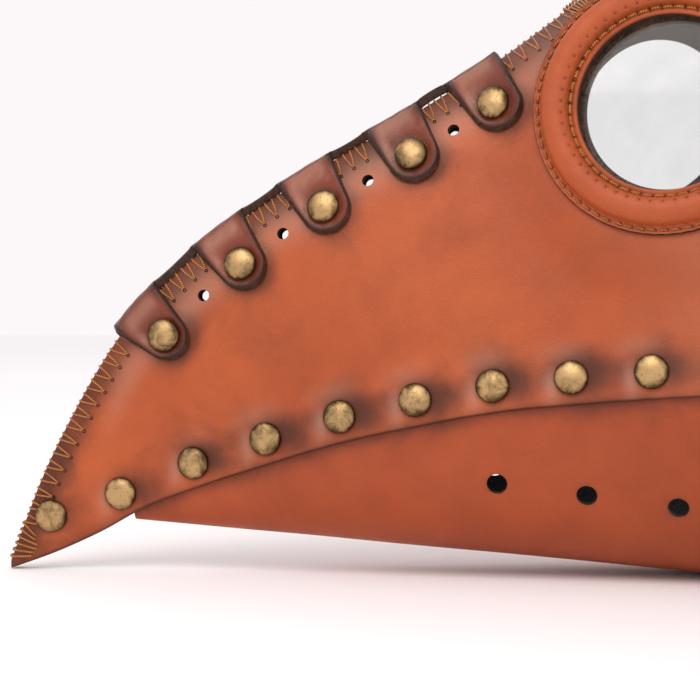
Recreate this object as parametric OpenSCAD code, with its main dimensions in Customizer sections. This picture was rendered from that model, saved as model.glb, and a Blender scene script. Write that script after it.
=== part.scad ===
// Plague doctor mask: a leather beak mask with goggle eyes and a two-strap head harness.
// Millimetres. +Z is up, the beak points along -Y and the wearer's left is +X.
// The mask stands on the beak's tip and on its underside at Z = 0.
// Side-view positions are written as f, the distance back from the beak's tip, and h, the height.

/* [Leather] */
// Thickness of the side panels and the forehead panel
panel_t = 2; // [1.4:0.1:2.2]
// Thickness of the beak's underside
gusset_t = 1.8; // [1.2:0.1:2]
// Thickness of the ridge strap
tab_t = 2.2; // [1.4:0.1:2.4]
// Air between two layers that lie on each other
layer_gap = 0.2; // [0.1:0.05:0.3]

/* [Rivets] */
// Diameter of a cap rivet's domed head
cap_d = 9.5; // [8:0.5:10]
// Height of the dome
cap_h = 2.2; // [1.5:0.1:2.6]
// Diameter of the shank
shank_d = 3.2; // [2.4:0.2:3.6]
// Spacing of the rivets along the lower edge
lower_pitch = 21.4; // [20:0.2:22]
// Number of lower rivets on each side
lower_count = 12; // [8:1:12]

/* [Eyes] */
// Diameter of the eye opening
eye_d = 50; // [46:1:52]
// Outer diameter of the stitched eye ring
ring_d = 75; // [70:1:76]
// Height of the padded roll above the ring's flange
roll_h = 4.4; // [3:0.2:5]
// Diameter of the lens
lens_d = 56; // [54:1:60]

/* [Vents] */
// Diameter of the breathing holes in the underside
vent_d = 5.7; // [4:0.1:7]
// Number of breathing holes on each side
vent_count = 6; // [3:1:6]
// Diameter of the small holes between the ridge tabs
pin_vent_d = 3.4; // [2.5:0.1:4]

/* [Harness] */
// Width of the straps
strap_w = 18; // [16:1:18]
// Thickness of the straps
strap_t = 2.4; // [2:0.1:2.4]
// Distance from the pivots to the back of the upper loop
upper_reach = 118; // [105:1:125]
// Distance from the pivots to the back of the lower loop
lower_reach = 132; // [115:1:140]
// Upward tilt of the upper loop
upper_tilt = 24; // [15:1:30]
// Upward tilt of the lower loop
lower_tilt = 6; // [0:1:10]

/* [Hidden] */
$fn = 48;

TAN = [0.72, 0.36, 0.2];
BROWN = [0.4, 0.22, 0.15];
BRASS = [0.62, 0.52, 0.3];
FOAM = [0.25, 0.24, 0.24];

// Side view of the left panel: [f, h] along its top edge, which is the beak's ridge up to the bridge
BRIDGE_F = 162.6;
TOP = [[0, 2.6], [9, 26.2], [18, 44.6], [31, 66.3], [50, 87.1], [70, 102.8], [95, 118.6], [120, 133],
       [145, 148.9], [BRIDGE_F, 161.8], [185, 179.6], [205, 190], [230, 198], [265, 203], [302, 200]];
// and along its lower edge
BOTTOM = [[0, 0.2], [15, 5.8], [27, 11.4], [39, 18.2], [56, 25], [74, 31.2], [97, 38.5], [119, 43.7],
          [141, 48], [168, 51], [192, 53], [230, 54.5], [302, 52]];
// Half widths: [f, x] along the same two edges
TOP_X = [[0, 1.25], [150, 1.25], [BRIDGE_F, 1.6], [168, 5], [175, 10], [185, 15], [205, 22.8], [230, 33.5],
         [255, 48.5], [270, 61.5], [280, 68], [286, 70], [294, 70], [302, 70]];
BOTTOM_X = [[0, 1.3], [27, 2.3], [34, 3.4], [39, 4.4], [56, 8.2], [74, 13], [97, 19], [119, 24], [141, 28.5],
            [168, 34], [192, 39.5], [230, 50.5], [262, 63.5], [278, 69], [286, 70], [294, 70], [302, 70]];
// How round the crest is: the half width grows as this power of the way down the panel
CREST = [[0, 0.55], [140, 0.55], [190, 0.75], [230, 0.9], [302, 0.9]];
// Rear edge: f at mid-height, and how far the strap corners reach behind it
REAR_F = 288;
REAR_EAR = 12;
REAR_CORNER_R = 12;
// Outer face of the underside along the middle of the beak: [f, h]
KEEL = [[34, 14.9], [85, 10.6], [142, 6], [197, 1.2], [212, 0], [262, 0], [284, 1.5]];
GUSSET_FROM = 36;
GUSSET_TO = 284;
GUSSET_FLAP = 12;     // how far the underside reaches up inside the side panels
GUSSET_POWER = 2.5;   // squareness of its U section

// Eye: centre on the panel's middle surface, and how the panel leans there
EYE = [26, 188, 133];
EYE_FRONT = 0.3;      // half width lost per mm forwards
EYE_UP = 0.22;        // and per mm upwards
EYE_FLAT_R = 38;      // the panel is flat this far round the eye
EYE_BLEND_R = 56;     // and back to its own curve here
EYE_RIDGE_BLEND = 9;  // the flat fades out this close to the ridge

// Ridge strap
TAB_F = [38.3, 62.4, 87.3, 112.5, 135.6];  // f of each tab's middle, on the ridge
TAB_RIVET_D = 10.8;     // from the ridge to the tab's rivet
TAB_R = 7.5;          // half of the tab's width at its rivet, where its round end starts
TAB_HALF = 8.8;       // and at the ridge
NECK_OUT = 2.1;       // reach of the strap from its middle line between tabs, along its outer face
NECK_IN = 3.4;        // and along its inner face, so its cut edge faces sideways
NECK_LIFT = 1.1;      // how far it arches up there
PIN_VENT_D = 10.2;    // from the ridge to the small holes

LOWER_FROM = 11.8;    // f of the row of lower rivets, before its first step
LOWER_UP = 7.4;       // from the lower edge up to the row
VENT_FROM = 141;
VENT_PITCH = 24.6;
VENT_H = 28;          // height of the first vent
VENT_FALL = 0.108;    // the row falls this much per mm
FOREHEAD_RIVET_F = [197, 215, 233, 252];
FOREHEAD_FLAP = 11;
FOREHEAD_FLAP_NARROW = 4.5;   // above the eye
FOREHEAD_BULGE = 66;  // a smaller figure rounds the forehead more
FOREHEAD_RISE = 27;   // angle of that bulge above straight forwards

// Harness: pivots in the side view, then the loops in their own plane
UPPER_PIVOT = [290, 181];
LOWER_PIVOT = [290, 80];
REAR_X = 70;          // half width of the side panels at the pivots
PIVOT_D = 4;
PIVOT_CAP_D = 11;
PIVOT_GAP = 0.4;
STRAP_X = REAR_X + panel_t / 2 + PIVOT_GAP + strap_t / 2;
STRAP_STRAIGHT = 14;  // straight past the pivot
BACK_HALF = 38;       // the back of the loop is straight this far each side
HEEL_A = 8;           // buckle's heel bar, from the middle of the back
FRONT_A = -12;        // and its front bar
BAR_R = 1.25;
HEEL_B = -(strap_t / 2 + BAR_R + 0.2);   // both bars lie this far inside the strap
FOLD_END_A = 34;      // where the folded end stops
FREE_IN_B = HEEL_B - BAR_R - 0.25 - strap_t / 2;   // the holed strap inside the front bar
FREE_OUT_B = strap_t + 0.15;                       // and outside the buckle strap
FREE_RISE = [-9.5, 3.5];                           // it climbs through the frame between these
TAIL_T = 0.62;        // how far along the curve the holed strap's end reaches
SLOT_W = 3.4;
RAIL_C = strap_w / 2 + 2.4;
PRONG_R = 1.1;
KEEPER_T = 1.6;
KEEPER_W = 8;
FIXED_KEEPER_A = 18.5;
SLIDING_KEEPER_A = 31;
HOLE_PITCH = 15;

// The design runs back from the tip, so this centres it on the origin
Y_MID = (LOWER_PIVOT[0] + (lower_reach + FREE_OUT_B + strap_t / 2 + KEEPER_T) * cos(lower_tilt)) / 2;

// ---- curves and surfaces ----

function segment(t, f, i = 0) = (i >= len(t) - 2 || f < t[i + 1][0]) ? i : segment(t, f, i + 1);
function chord(t, i) = (t[i + 1][1] - t[i][1]) / (t[i + 1][0] - t[i][0]);
function gap(t, i) = t[i + 1][0] - t[i][0];
function tangent(t, i) =
    i == 0 ? chord(t, 0)
    : i == len(t) - 1 ? chord(t, i - 1)
    : (chord(t, i - 1) * gap(t, i) + chord(t, i) * gap(t, i - 1)) / (gap(t, i) + gap(t, i - 1));
// Smooth curve through a table's points
function curve(t, f) =
    let (i = segment(t, f), g = gap(t, i), s = (f - t[i][0]) / g, a = t[i][1], b = t[i + 1][1],
         ma = tangent(t, i) * g, mb = tangent(t, i + 1) * g)
    a + s * ma + s * s * (3 * (b - a) - 2 * ma - mb) + s * s * s * (2 * (a - b) + ma + mb);
function clamp(v, lo = 0, hi = 1) = max(lo, min(hi, v));
function smooth(v) = let (s = clamp(v)) s * s * (3 - 2 * s);
function unit(v) = v / norm(v);
function mix(a, b, t) = a + (b - a) * t;

function eye_plane(f, h) = EYE[0] + EYE_FRONT * (f - EYE[1]) - EYE_UP * (h - EYE[2]);
// Middle surface of the left panel: v runs from 0 at its top edge to 1 at its lower edge
function panel_point(f, v) =
    let (top = curve(TOP, f), bottom = curve(BOTTOM, f), h = mix(top, bottom, v),
         x = mix(curve(TOP_X, f), curve(BOTTOM_X, f), pow(v, curve(CREST, f))),
         r = norm([f - EYE[1], h - EYE[2]]),
         flat = smooth((EYE_BLEND_R - r) / (EYE_BLEND_R - EYE_FLAT_R)) * smooth((top - h) / EYE_RIDGE_BLEND))
    [mix(x, eye_plane(f, h), flat), f, h];
function panel_v(f, h) = (curve(TOP, f) - h) / (curve(TOP, f) - curve(BOTTOM, f));
STEP_F = 0.4;
STEP_V = 0.006;
function panel_normal(f, v) =
    let (w = clamp(v, 2 * STEP_V, 1 - STEP_V),
         along = panel_point(f + STEP_F, w) - panel_point(f - STEP_F, w),
         down = panel_point(f, w + STEP_V) - panel_point(f, w - STEP_V))
    unit(cross(down, along));
// A point off the panel's middle surface, kept on its own side of the mask
SEAM_GAP = 0.15;
function off_panel(f, v, d) =
    let (p = panel_point(f, v) + d * panel_normal(f, v)) [max(p[0], SEAM_GAP), p[1], p[2]];

// Solid between two grids of points: a is the outer face and b the inner one
module slab(a, b) {
    rows = len(a);
    cols = len(a[0]);
    n = rows * cols;
    function id(s, i, j) = s * n + i * cols + j;
    function quad(p, q, r, s) = [[p, q, r], [p, r, s]];
    polyhedron(
        points = concat([for (r = a) each r], [for (r = b) each r]),
        faces = concat(
            [for (i = [0 : rows - 2], j = [0 : cols - 2])
                each quad(id(0, i, j), id(0, i, j + 1), id(0, i + 1, j + 1), id(0, i + 1, j))],
            [for (i = [0 : rows - 2], j = [0 : cols - 2])
                each quad(id(1, i, j), id(1, i + 1, j), id(1, i + 1, j + 1), id(1, i, j + 1))],
            [for (i = [0 : rows - 2])
                each quad(id(0, i, 0), id(0, i + 1, 0), id(1, i + 1, 0), id(1, i, 0))],
            [for (i = [0 : rows - 2])
                each quad(id(0, i + 1, cols - 1), id(0, i, cols - 1), id(1, i, cols - 1), id(1, i + 1, cols - 1))],
            [for (j = [0 : cols - 2])
                each quad(id(0, 0, j + 1), id(0, 0, j), id(1, 0, j), id(1, 0, j + 1))],
            [for (j = [0 : cols - 2])
                each quad(id(0, rows - 1, j), id(0, rows - 1, j + 1), id(1, rows - 1, j + 1), id(1, rows - 1, j))]
        )
    );
}

// Puts children at a point with their +Z along a direction
module aim(p, d) {
    u = unit(d);
    translate(p) rotate([0, acos(u[2]), atan2(u[1], u[0])]) children();
}
module on_panel(f, h, lift = 0) {
    v = panel_v(f, h);
    aim(panel_point(f, v) + lift * panel_normal(f, v), panel_normal(f, v)) children();
}
module centred() {
    translate([0, -Y_MID, 0]) children();
}
module right_hand() {
    mirror([1, 0, 0]) children();
}

// ---- side panels ----

PANEL_ROWS = 44;
PANEL_COLS = 13;
function rear_f(v) = REAR_F + REAR_EAR * pow(2 * v - 1, 2);
// More rows near the tip, where the outline turns fastest
function panel_row_f(i, v) = rear_f(v) * pow(i / PANEL_ROWS, 1.25);
function panel_col_v(j) = pow(j / PANEL_COLS, 1.3);
function panel_face(d) =
    [for (i = [0 : PANEL_ROWS])
        [for (j = [0 : PANEL_COLS]) let (v = panel_col_v(j)) off_panel(panel_row_f(i, v), v, d)]];

// Where things are fixed to the left panel, as [f, h]
function ridge_angle(f) = atan(tangent_at(TOP, f));
function tangent_at(t, f) = (curve(t, f + STEP_F) - curve(t, f - STEP_F)) / (2 * STEP_F);
function below_ridge(f, d) = let (a = ridge_angle(f)) [f + d * sin(a), curve(TOP, f) - d * cos(a)];
ridge_rivet_at = [for (f = TAB_F) below_ridge(f, TAB_RIVET_D)];
pin_vent_at = [for (i = [0 : len(TAB_F) - 2]) below_ridge((TAB_F[i] + TAB_F[i + 1]) / 2, PIN_VENT_D)];
function lower_spot(i) = let (f = LOWER_FROM + lower_pitch * i) [f, curve(BOTTOM, f) + LOWER_UP];
// The first two go through both side panels
tip_rivet_at = [[LOWER_FROM, 15.6], lower_spot(1)];
lower_rivet_at = [for (i = [2 : lower_count]) lower_spot(i)];
forehead_rivet_at = [for (f = FOREHEAD_RIVET_F) [f, curve(TOP, f) - FOREHEAD_FLAP / 2 - 0.5]];

module bore(d) {
    cylinder(d = d, h = 24, center = true);
}
// Takes a rear corner off: the corner is at [f, h] and s is 1 for the upper one
module corner_cut(f, h, s) {
    r = REAR_CORNER_R;
    translate([0, f - r, h - s * r]) rotate([90, 0, 90]) difference() {
        translate([0, s > 0 ? 0 : -2 * r, REAR_X - 8]) cube([2 * r, 2 * r, 16]);
        translate([0, 0, REAR_X - 9]) cylinder(r = r, h = 18);
    }
}
module side_panel() {
    difference() {
        slab(panel_face(panel_t / 2), panel_face(-panel_t / 2));
        corner_cut(rear_f(0), curve(TOP, rear_f(0)), 1);
        corner_cut(rear_f(1), curve(BOTTOM, rear_f(1)), -1);
        aim(EYE, [1, -EYE_FRONT, EYE_UP]) bore(eye_d + 0.4);
        for (p = concat(ridge_rivet_at, tip_rivet_at, lower_rivet_at, forehead_rivet_at))
            on_panel(p[0], p[1]) bore(shank_d + 0.2);
        for (p = pin_vent_at) on_panel(p[0], p[1]) bore(pin_vent_d);
        for (p = [UPPER_PIVOT, LOWER_PIVOT]) on_panel(p[0], p[1]) bore(PIVOT_D + 0.2);
    }
}
module left_side_panel() {
    color(TAN) centred() side_panel();
}
module right_side_panel() {
    color(TAN) centred() right_hand() side_panel();
}

// ---- underside ----

GUSSET_ROWS = 40;
GUSSET_U = 10;        // steps round each half of the U
GUSSET_MID = panel_t / 2 + layer_gap + gusset_t / 2;
FLAP_STEPS = 2;
FLAT_SINK = 1.4;      // the U is pressed flat where it would dip below the floor
function flap_point(f, up) = let (v = panel_v(f, curve(BOTTOM, f) + up)) off_panel(f, v, -GUSSET_MID);
// Middle line of half a section, from the flap's top down to the keel
function gusset_half(f) =
    let (start = flap_point(f, 0), keel = curve(KEEL, f) + gusset_t / 2,
         sink = FLAT_SINK * smooth((f - 190) / 30), depth = start[2] - keel + sink)
    concat(
        [for (k = [FLAP_STEPS : -1 : 1]) flap_point(f, GUSSET_FLAP * k / FLAP_STEPS)],
        [for (k = [0 : GUSSET_U]) let (a = 90 * k / GUSSET_U)
            [start[0] * pow(cos(a), 2 / GUSSET_POWER), start[1],
             max(start[2] - depth * pow(sin(a), 2 / GUSSET_POWER), keel)]]);
function mirrored(p) = [-p[0], p[1], p[2]];
function gusset_line(f) =
    let (half = gusset_half(f), n = len(half))
    concat(half, [for (k = [n - 2 : -1 : 0]) mirrored(half[k])]);
// A line of points moved sideways, in the X-Z plane, by d
function offset_line(line, d) =
    let (n = len(line))
    [for (k = [0 : n - 1])
        let (t = unit(line[min(k + 1, n - 1)] - line[max(k - 1, 0)]), m = unit([-t[2], 0, t[0]]))
        line[k] + d * m];
function gusset_f(i) = mix(GUSSET_FROM, GUSSET_TO, pow(i / GUSSET_ROWS, 1.1));
function gusset_face(d) = [for (i = [0 : GUSSET_ROWS]) offset_line(gusset_line(gusset_f(i)), d)];

// The first U step at or below a height, to find where a vent sits on the section
function vent_spot(f, h) =
    let (half = gusset_half(f), n = len(half),
         k = [for (i = [FLAP_STEPS : n - 2]) if (half[i][2] >= h && half[i + 1][2] < h) i][0],
         s = (half[k][2] - h) / (half[k][2] - half[k + 1][2]))
    [mix(half[k], half[k + 1], s), half[k + 1] - half[k]];
module gusset() {
    difference() {
        slab(gusset_face(-gusset_t / 2), gusset_face(gusset_t / 2));
        for (side = [0, 1]) mirror([side, 0, 0]) {
            for (p = lower_rivet_at) on_panel(p[0], p[1]) bore(shank_d + 0.2);
            for (i = [0 : vent_count - 1]) {
                f = VENT_FROM + VENT_PITCH * i;
                spot = vent_spot(f, VENT_H - VENT_FALL * VENT_PITCH * i);
                aim(spot[0], [-spot[1][2], 0, spot[1][0]]) cylinder(d = vent_d, h = 14, center = true);
            }
        }
    }
}
module beak_underside() {
    color(TAN) centred() gusset();
}

// ---- forehead ----

FOREHEAD_ROWS = 16;
FOREHEAD_FROM = 167;
FOREHEAD_TO = 284;
FOREHEAD_ARCH = 16;   // steps over the arch
FOREHEAD_IN = panel_t + layer_gap;   // it lies this far inside the side panels' middle surface
// A point of the arch: a is -90 at the right edge, 0 in the middle and 90 at the left edge
function arch_point(f, a) =
    let (e = off_panel(f, 0, -FOREHEAD_IN), bulge = e[0] * e[0] / FOREHEAD_BULGE * cos(a))
    [e[0] * sin(a), e[1] - bulge * cos(FOREHEAD_RISE), e[2] + bulge * sin(FOREHEAD_RISE)];
function forehead_flap(f) = mix(FOREHEAD_FLAP_NARROW, FOREHEAD_FLAP, smooth((f - 180) / 14));
function forehead_line(f) =
    let (flap = [for (k = [2 : -1 : 1])
            off_panel(f, panel_v(f, curve(TOP, f) - forehead_flap(f) * k / 2), -FOREHEAD_IN)])
    concat(
        flap,
        [for (k = [0 : FOREHEAD_ARCH]) arch_point(f, 90 - 180 * k / FOREHEAD_ARCH)],
        [for (k = [1 : -1 : 0]) mirrored(flap[k])]);
function forehead_f(i) = mix(FOREHEAD_FROM, FOREHEAD_TO, i / FOREHEAD_ROWS);
forehead_mid = [for (i = [0 : FOREHEAD_ROWS]) forehead_line(forehead_f(i))];
// A grid of points moved outwards along its own normals by d
function offset_grid(g, d) =
    let (rows = len(g) - 1, cols = len(g[0]) - 1)
    [for (i = [0 : rows]) [for (j = [0 : cols])
        g[i][j] + d * unit(cross(g[min(i + 1, rows)][j] - g[max(i - 1, 0)][j],
                                 g[i][min(j + 1, cols)] - g[i][max(j - 1, 0)]))]];
module forehead_panel() {
    color(TAN) centred() difference() {
        slab(offset_grid(forehead_mid, panel_t / 2), offset_grid(forehead_mid, -panel_t / 2));
        for (side = [0, 1]) mirror([side, 0, 0])
            for (p = forehead_rivet_at) on_panel(p[0], p[1]) bore(shank_d + 0.2);
    }
}
PAD_T = 6;
PAD_SPAN = 54;        // degrees of the arch that it covers, each side
module forehead_pad() {
    mid = [for (i = [0 : 4]) [for (j = [0 : 12]) arch_point(mix(262, 282, i / 4), mix(PAD_SPAN, -PAD_SPAN, j / 12))]];
    color(FOAM) centred()
        slab(offset_grid(mid, -panel_t / 2 - 0.4), offset_grid(mid, -panel_t / 2 - 0.4 - PAD_T));
}

// ---- ridge strap ----

STRAP_LIFT = panel_t / 2 + layer_gap + tab_t / 2;
CREST_LIFT = 2.4;     // the strap's middle surface above the ridge
CREST_ARC = 4.6;      // length of its middle surface from there round to the side panel
// How far the strap reaches down each side, s mm along the ridge from a tab's middle
function tab_depth(s) =
    abs(s) < TAB_R ? TAB_RIVET_D + sqrt(TAB_R * TAB_R - s * s)
    : mix(TAB_RIVET_D, 0, (abs(s) - TAB_R) / (TAB_HALF - TAB_R));
TAB_S = [-8.8, -8.4, -7.9, -7.45, -6.9, -6, -4.5, -2.3, 0, 2.3, 4.5, 6, 6.9, 7.45, 7.9, 8.4, 8.8];
NECK_START = 0.5;     // the cut between two tabs slopes over this length
// Rows of the strap as [f, reach along its outer face, along its inner face, lift]
strap_rows = [for (i = [0 : len(TAB_F) - 1]) each concat(
    [for (s = TAB_S) let (reach = CREST_ARC + tab_depth(s))
        [TAB_F[i] + s * cos(ridge_angle(TAB_F[i])), reach, reach, 0]],
    i == len(TAB_F) - 1 ? [] :
        let (a = TAB_F[i] + (TAB_HALF + NECK_START) * cos(ridge_angle(TAB_F[i])),
             b = TAB_F[i + 1] - (TAB_HALF + NECK_START) * cos(ridge_angle(TAB_F[i + 1])))
        [for (k = [0 : 5]) [mix(a, b, k / 5), NECK_OUT, NECK_IN, NECK_LIFT * sin(180 * k / 5)]])];
TAB_COLS = 10;        // steps down each side
// Point of the strap at a distance from its middle line: round the crest first, then down the side
function strap_point(row, u, d) =
    let (a = ridge_angle(row[0]), up = [0, -sin(a), cos(a)], spot = below_ridge(row[0], max(u - CREST_ARC, 0)),
         side = off_panel(spot[0], max(panel_v(spot[0], spot[1]), 0.001), STRAP_LIFT + d),
         crest = [0, row[0], curve(TOP, row[0])] + (CREST_LIFT + d) * up, turn = 90 * min(u / CREST_ARC, 1))
    [side[0] * sin(turn), mix(side[1], crest[1], cos(turn)), mix(side[2], crest[2], cos(turn))] + row[3] * up;
function strap_face(d) =
    [for (row = strap_rows) let (reach = d > 0 ? row[1] : row[2]) concat(
        [for (j = [TAB_COLS : -1 : 0]) strap_point(row, reach * pow(j / TAB_COLS, 1.6), d)],
        [for (j = [1 : TAB_COLS]) mirrored(strap_point(row, reach * pow(j / TAB_COLS, 1.6), d))])];
module ridge_strap() {
    color(BROWN) centred() difference() {
        slab(strap_face(tab_t / 2), strap_face(-tab_t / 2));
        for (side = [0, 1]) mirror([side, 0, 0])
            for (p = ridge_rivet_at) on_panel(p[0], p[1]) bore(shank_d + 0.2);
    }
}

// ---- eyes ----

module in_eye() {
    aim(EYE, [1, -EYE_FRONT, EYE_UP]) children();
}
RING_BASE = panel_t / 2 + layer_gap;
RING_T = 1.5;
ROLL_IN = 27;         // the roll runs from this radius
ROLL_OUT = 35;        // to this one
// Half of the roll's arch, as [r, z] at an offset d from its underside
function roll(d) = [for (k = [0 : 12])
    let (a = 180 * k / 12, mid = (ROLL_IN + ROLL_OUT) / 2, half = (ROLL_OUT - ROLL_IN) / 2)
    [mid + (half + d * 0.3) * cos(a), RING_BASE + d + (roll_h - RING_T + 0.6) * sin(a)]];
module eye_ring_cover() {
    in_eye() rotate_extrude($fn = 96) polygon(concat(
        [[ring_d / 2, RING_BASE], [ring_d / 2, RING_BASE + RING_T]],
        roll(RING_T),
        [[eye_d / 2, RING_BASE + RING_T], [eye_d / 2, RING_BASE]],
        [for (k = [12 : -1 : 0]) roll(0)[k]]));
}
module eye_ring_padding() {
    in_eye() rotate_extrude($fn = 96) polygon(concat(
        [for (p = roll(0)) [p[0], max(p[1] - 0.2, RING_BASE)]]));
}
LENS_T = 1.6;
LENS_FRONT = -panel_t / 2 - layer_gap;
module lens() {
    in_eye() translate([0, 0, LENS_FRONT - LENS_T]) cylinder(d = lens_d, h = LENS_T, $fn = 96);
}
module lens_gasket() {
    in_eye() translate([0, 0, LENS_FRONT - LENS_T]) difference() {
        cylinder(d = ring_d - 9, h = LENS_T, $fn = 96);
        translate([0, 0, -1]) cylinder(d = lens_d + 0.4, h = LENS_T + 2, $fn = 96);
    }
}
module lens_retainer() {
    in_eye() translate([0, 0, LENS_FRONT - LENS_T - layer_gap - 1.8]) difference() {
        cylinder(d = ring_d - 7, h = 1.8, $fn = 96);
        translate([0, 0, -1]) cylinder(d = eye_d - 3, h = 4, $fn = 96);
    }
}
module left_eye_ring_cover() { color(TAN) centred() eye_ring_cover(); }
module right_eye_ring_cover() { color(TAN) centred() right_hand() eye_ring_cover(); }
module left_eye_ring_padding() { color(FOAM) centred() eye_ring_padding(); }
module right_eye_ring_padding() { color(FOAM) centred() right_hand() eye_ring_padding(); }
module left_lens() { color([0.85, 0.85, 0.87, 0.4]) centred() lens(); }
module right_lens() { color([0.85, 0.85, 0.87, 0.4]) centred() right_hand() lens(); }
module left_lens_gasket() { color(FOAM) centred() lens_gasket(); }
module right_lens_gasket() { color(FOAM) centred() right_hand() lens_gasket(); }
module left_lens_retainer() { color(BROWN) centred() lens_retainer(); }
module right_lens_retainer() { color(BROWN) centred() right_hand() lens_retainer(); }

// ---- rivets ----

// Domed head that stands on z = base
module cap(base, d) {
    rim = 0.5;
    ball_r = (pow(d / 2, 2) + pow(cap_h - rim, 2)) / (2 * (cap_h - rim));
    translate([0, 0, base]) {
        cylinder(d = d, h = rim);
        intersection() {
            translate([0, 0, cap_h - ball_r]) sphere(r = ball_r, $fn = 96);
            translate([0, 0, rim]) cylinder(d = d, h = cap_h);
        }
    }
}
// Cap rivet along +Z: the dome sits at z = outside and the back cap at z = inside
module rivet(outside, inside, d = cap_d, shank = shank_d) {
    back_t = 1;
    cap(outside, d);
    translate([0, 0, inside]) cylinder(d = shank, h = outside - inside + 0.2);
    translate([0, 0, inside - back_t]) cylinder(d = d * 0.84, h = back_t + 0.01);
}
CAP_GAP = 0.2;
OUT_1 = panel_t / 2 + CAP_GAP;                             // dome on a bare panel
module ridge_rivets() {
    for (p = ridge_rivet_at) on_panel(p[0], p[1])
        rivet(STRAP_LIFT + tab_t / 2 + 4 * CAP_GAP, -panel_t / 2 - CAP_GAP);
}
module lower_rivets() {
    for (p = lower_rivet_at) on_panel(p[0], p[1]) rivet(OUT_1, -GUSSET_MID - gusset_t / 2 - CAP_GAP);
}
module forehead_rivets() {
    for (p = forehead_rivet_at) on_panel(p[0], p[1]) rivet(OUT_1 + CAP_GAP, -FOREHEAD_IN - panel_t / 2 - 8 * CAP_GAP);
}
module left_ridge_rivets() { color(BRASS) centred() ridge_rivets(); }
module right_ridge_rivets() { color(BRASS) centred() right_hand() ridge_rivets(); }
module left_lower_rivets() { color(BRASS) centred() lower_rivets(); }
module right_lower_rivets() { color(BRASS) centred() right_hand() lower_rivets(); }
module left_forehead_rivets() { color(BRASS) centred() forehead_rivets(); }
module right_forehead_rivets() { color(BRASS) centred() right_hand() forehead_rivets(); }
module tip_rivets() {
    color(BRASS) centred() for (p = tip_rivet_at) {
        v = panel_v(p[0], p[1]);
        // The cap is square to X, so it stands off where the panel leans away from it
        lean = norm([panel_normal(p[0], v)[1], panel_normal(p[0], v)[2]]);
        reach = panel_point(p[0], v)[0] + panel_t / 2 + CAP_GAP + lean * cap_d / 2;
        translate([0, p[0], p[1]]) rotate([0, 90, 0]) for (side = [0, 1]) mirror([0, 0, side]) {
            cap(reach, cap_d);
            cylinder(d = shank_d, h = reach + 0.2);
        }
    }
}

// ---- harness ----
// A loop is drawn in its own plane: a is across, b runs back from the pivots and c is the strap's width

function bezier(p, t) =
    let (s = 1 - t) s * s * s * p[0] + 3 * s * s * t * p[1] + 3 * s * t * t * p[2] + t * t * t * p[3];
// The left side's curve from the pivot's straight to the straight back
function loop_curve(reach) =
    [[STRAP_X, STRAP_STRAIGHT], [STRAP_X, reach * 0.72], [STRAP_X + 4, reach], [BACK_HALF, reach]];
LOOP_STEPS = 14;
// Band of thickness t along a path
module band(path, t) {
    n = len(path);
    function side(k) = let (d = unit(path[min(k + 1, n - 1)] - path[max(k - 1, 0)])) [-d[1], d[0]];
    polygon(concat([for (k = [0 : n - 1]) path[k] + t / 2 * side(k)],
                   [for (k = [n - 1 : -1 : 0]) path[k] - t / 2 * side(k)]));
}
module across(w) {
    linear_extrude(height = w, center = true) children();
}
// Rounds a strap's front end about the pivot and bores it
module front_end(reach) {
    difference() {
        intersection() {
            children();
            union() {
                rotate([0, 90, 0]) cylinder(d = strap_w, h = 4 * STRAP_X, center = true);
                translate([-2 * STRAP_X, 0, -strap_w]) cube([4 * STRAP_X, 2 * reach, 2 * strap_w]);
            }
        }
        rotate([0, 90, 0]) cylinder(d = PIVOT_D + 0.2, h = 4 * STRAP_X, center = true);
    }
}
module buckle_strap(reach) {
    curve_points = loop_curve(reach);
    fold_r = -HEEL_B;
    path = concat(
        [[STRAP_X, -strap_w / 2], [STRAP_X, 0]],
        [for (k = [0 : LOOP_STEPS]) bezier(curve_points, k / LOOP_STEPS)],
        [[HEEL_A + 6, reach]],
        [for (k = [0 : 8]) let (g = 90 + 180 * k / 8)
            [HEEL_A + fold_r * cos(g), reach + HEEL_B + fold_r * sin(g)]],
        [[HEEL_A + 3, reach - 4.2], [HEEL_A + 6, reach - strap_t - 0.1], [FOLD_END_A, reach - strap_t - 0.1]]);
    difference() {
        front_end(reach) across(strap_w) band(path, strap_t);
        translate([HEEL_A - 5, reach - 8, -SLOT_W / 2]) cube([9, 11, SLOT_W]);
    }
}
function free_b(a) = mix(FREE_IN_B, FREE_OUT_B, smooth((a - FREE_RISE[0]) / (FREE_RISE[1] - FREE_RISE[0])));
// The right side's curve comes in to the level inside the front bar
function free_curve(reach) =
    [[-STRAP_X, STRAP_STRAIGHT], [-STRAP_X, reach * 0.72], [-STRAP_X - 4, reach + FREE_IN_B],
     [-BACK_HALF, reach + FREE_IN_B]];
function tail_point(reach, t) =
    let (p = bezier(loop_curve(reach), t), q = bezier(loop_curve(reach), t - 0.01), d = unit(p - q))
    p + FREE_OUT_B * [d[1], -d[0]];
module holed_strap(reach) {
    path = concat(
        [[-STRAP_X, -strap_w / 2], [-STRAP_X, 0]],
        [for (k = [0 : LOOP_STEPS]) bezier(free_curve(reach), k / LOOP_STEPS)],
        [for (k = [0 : 13]) let (a = mix(FREE_RISE[0], FREE_RISE[1], k / 13)) [a, reach + free_b(a)]],
        [for (k = [0 : 8]) tail_point(reach, mix(1, TAIL_T, k / 8))]);
    slot_a = [-6.2, 4.8];
    difference() {
        front_end(reach) across(strap_w) band(path, strap_t);
        translate([slot_a[0], reach - 8, -SLOT_W / 2]) cube([slot_a[1] - slot_a[0], 14, SLOT_W]);
        for (k = [1, 2])
            translate([-2 - HOLE_PITCH * k, reach, 0]) rotate([90, 0, 0]) cylinder(d = SLOT_W, h = 30, center = true);
    }
}
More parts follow.
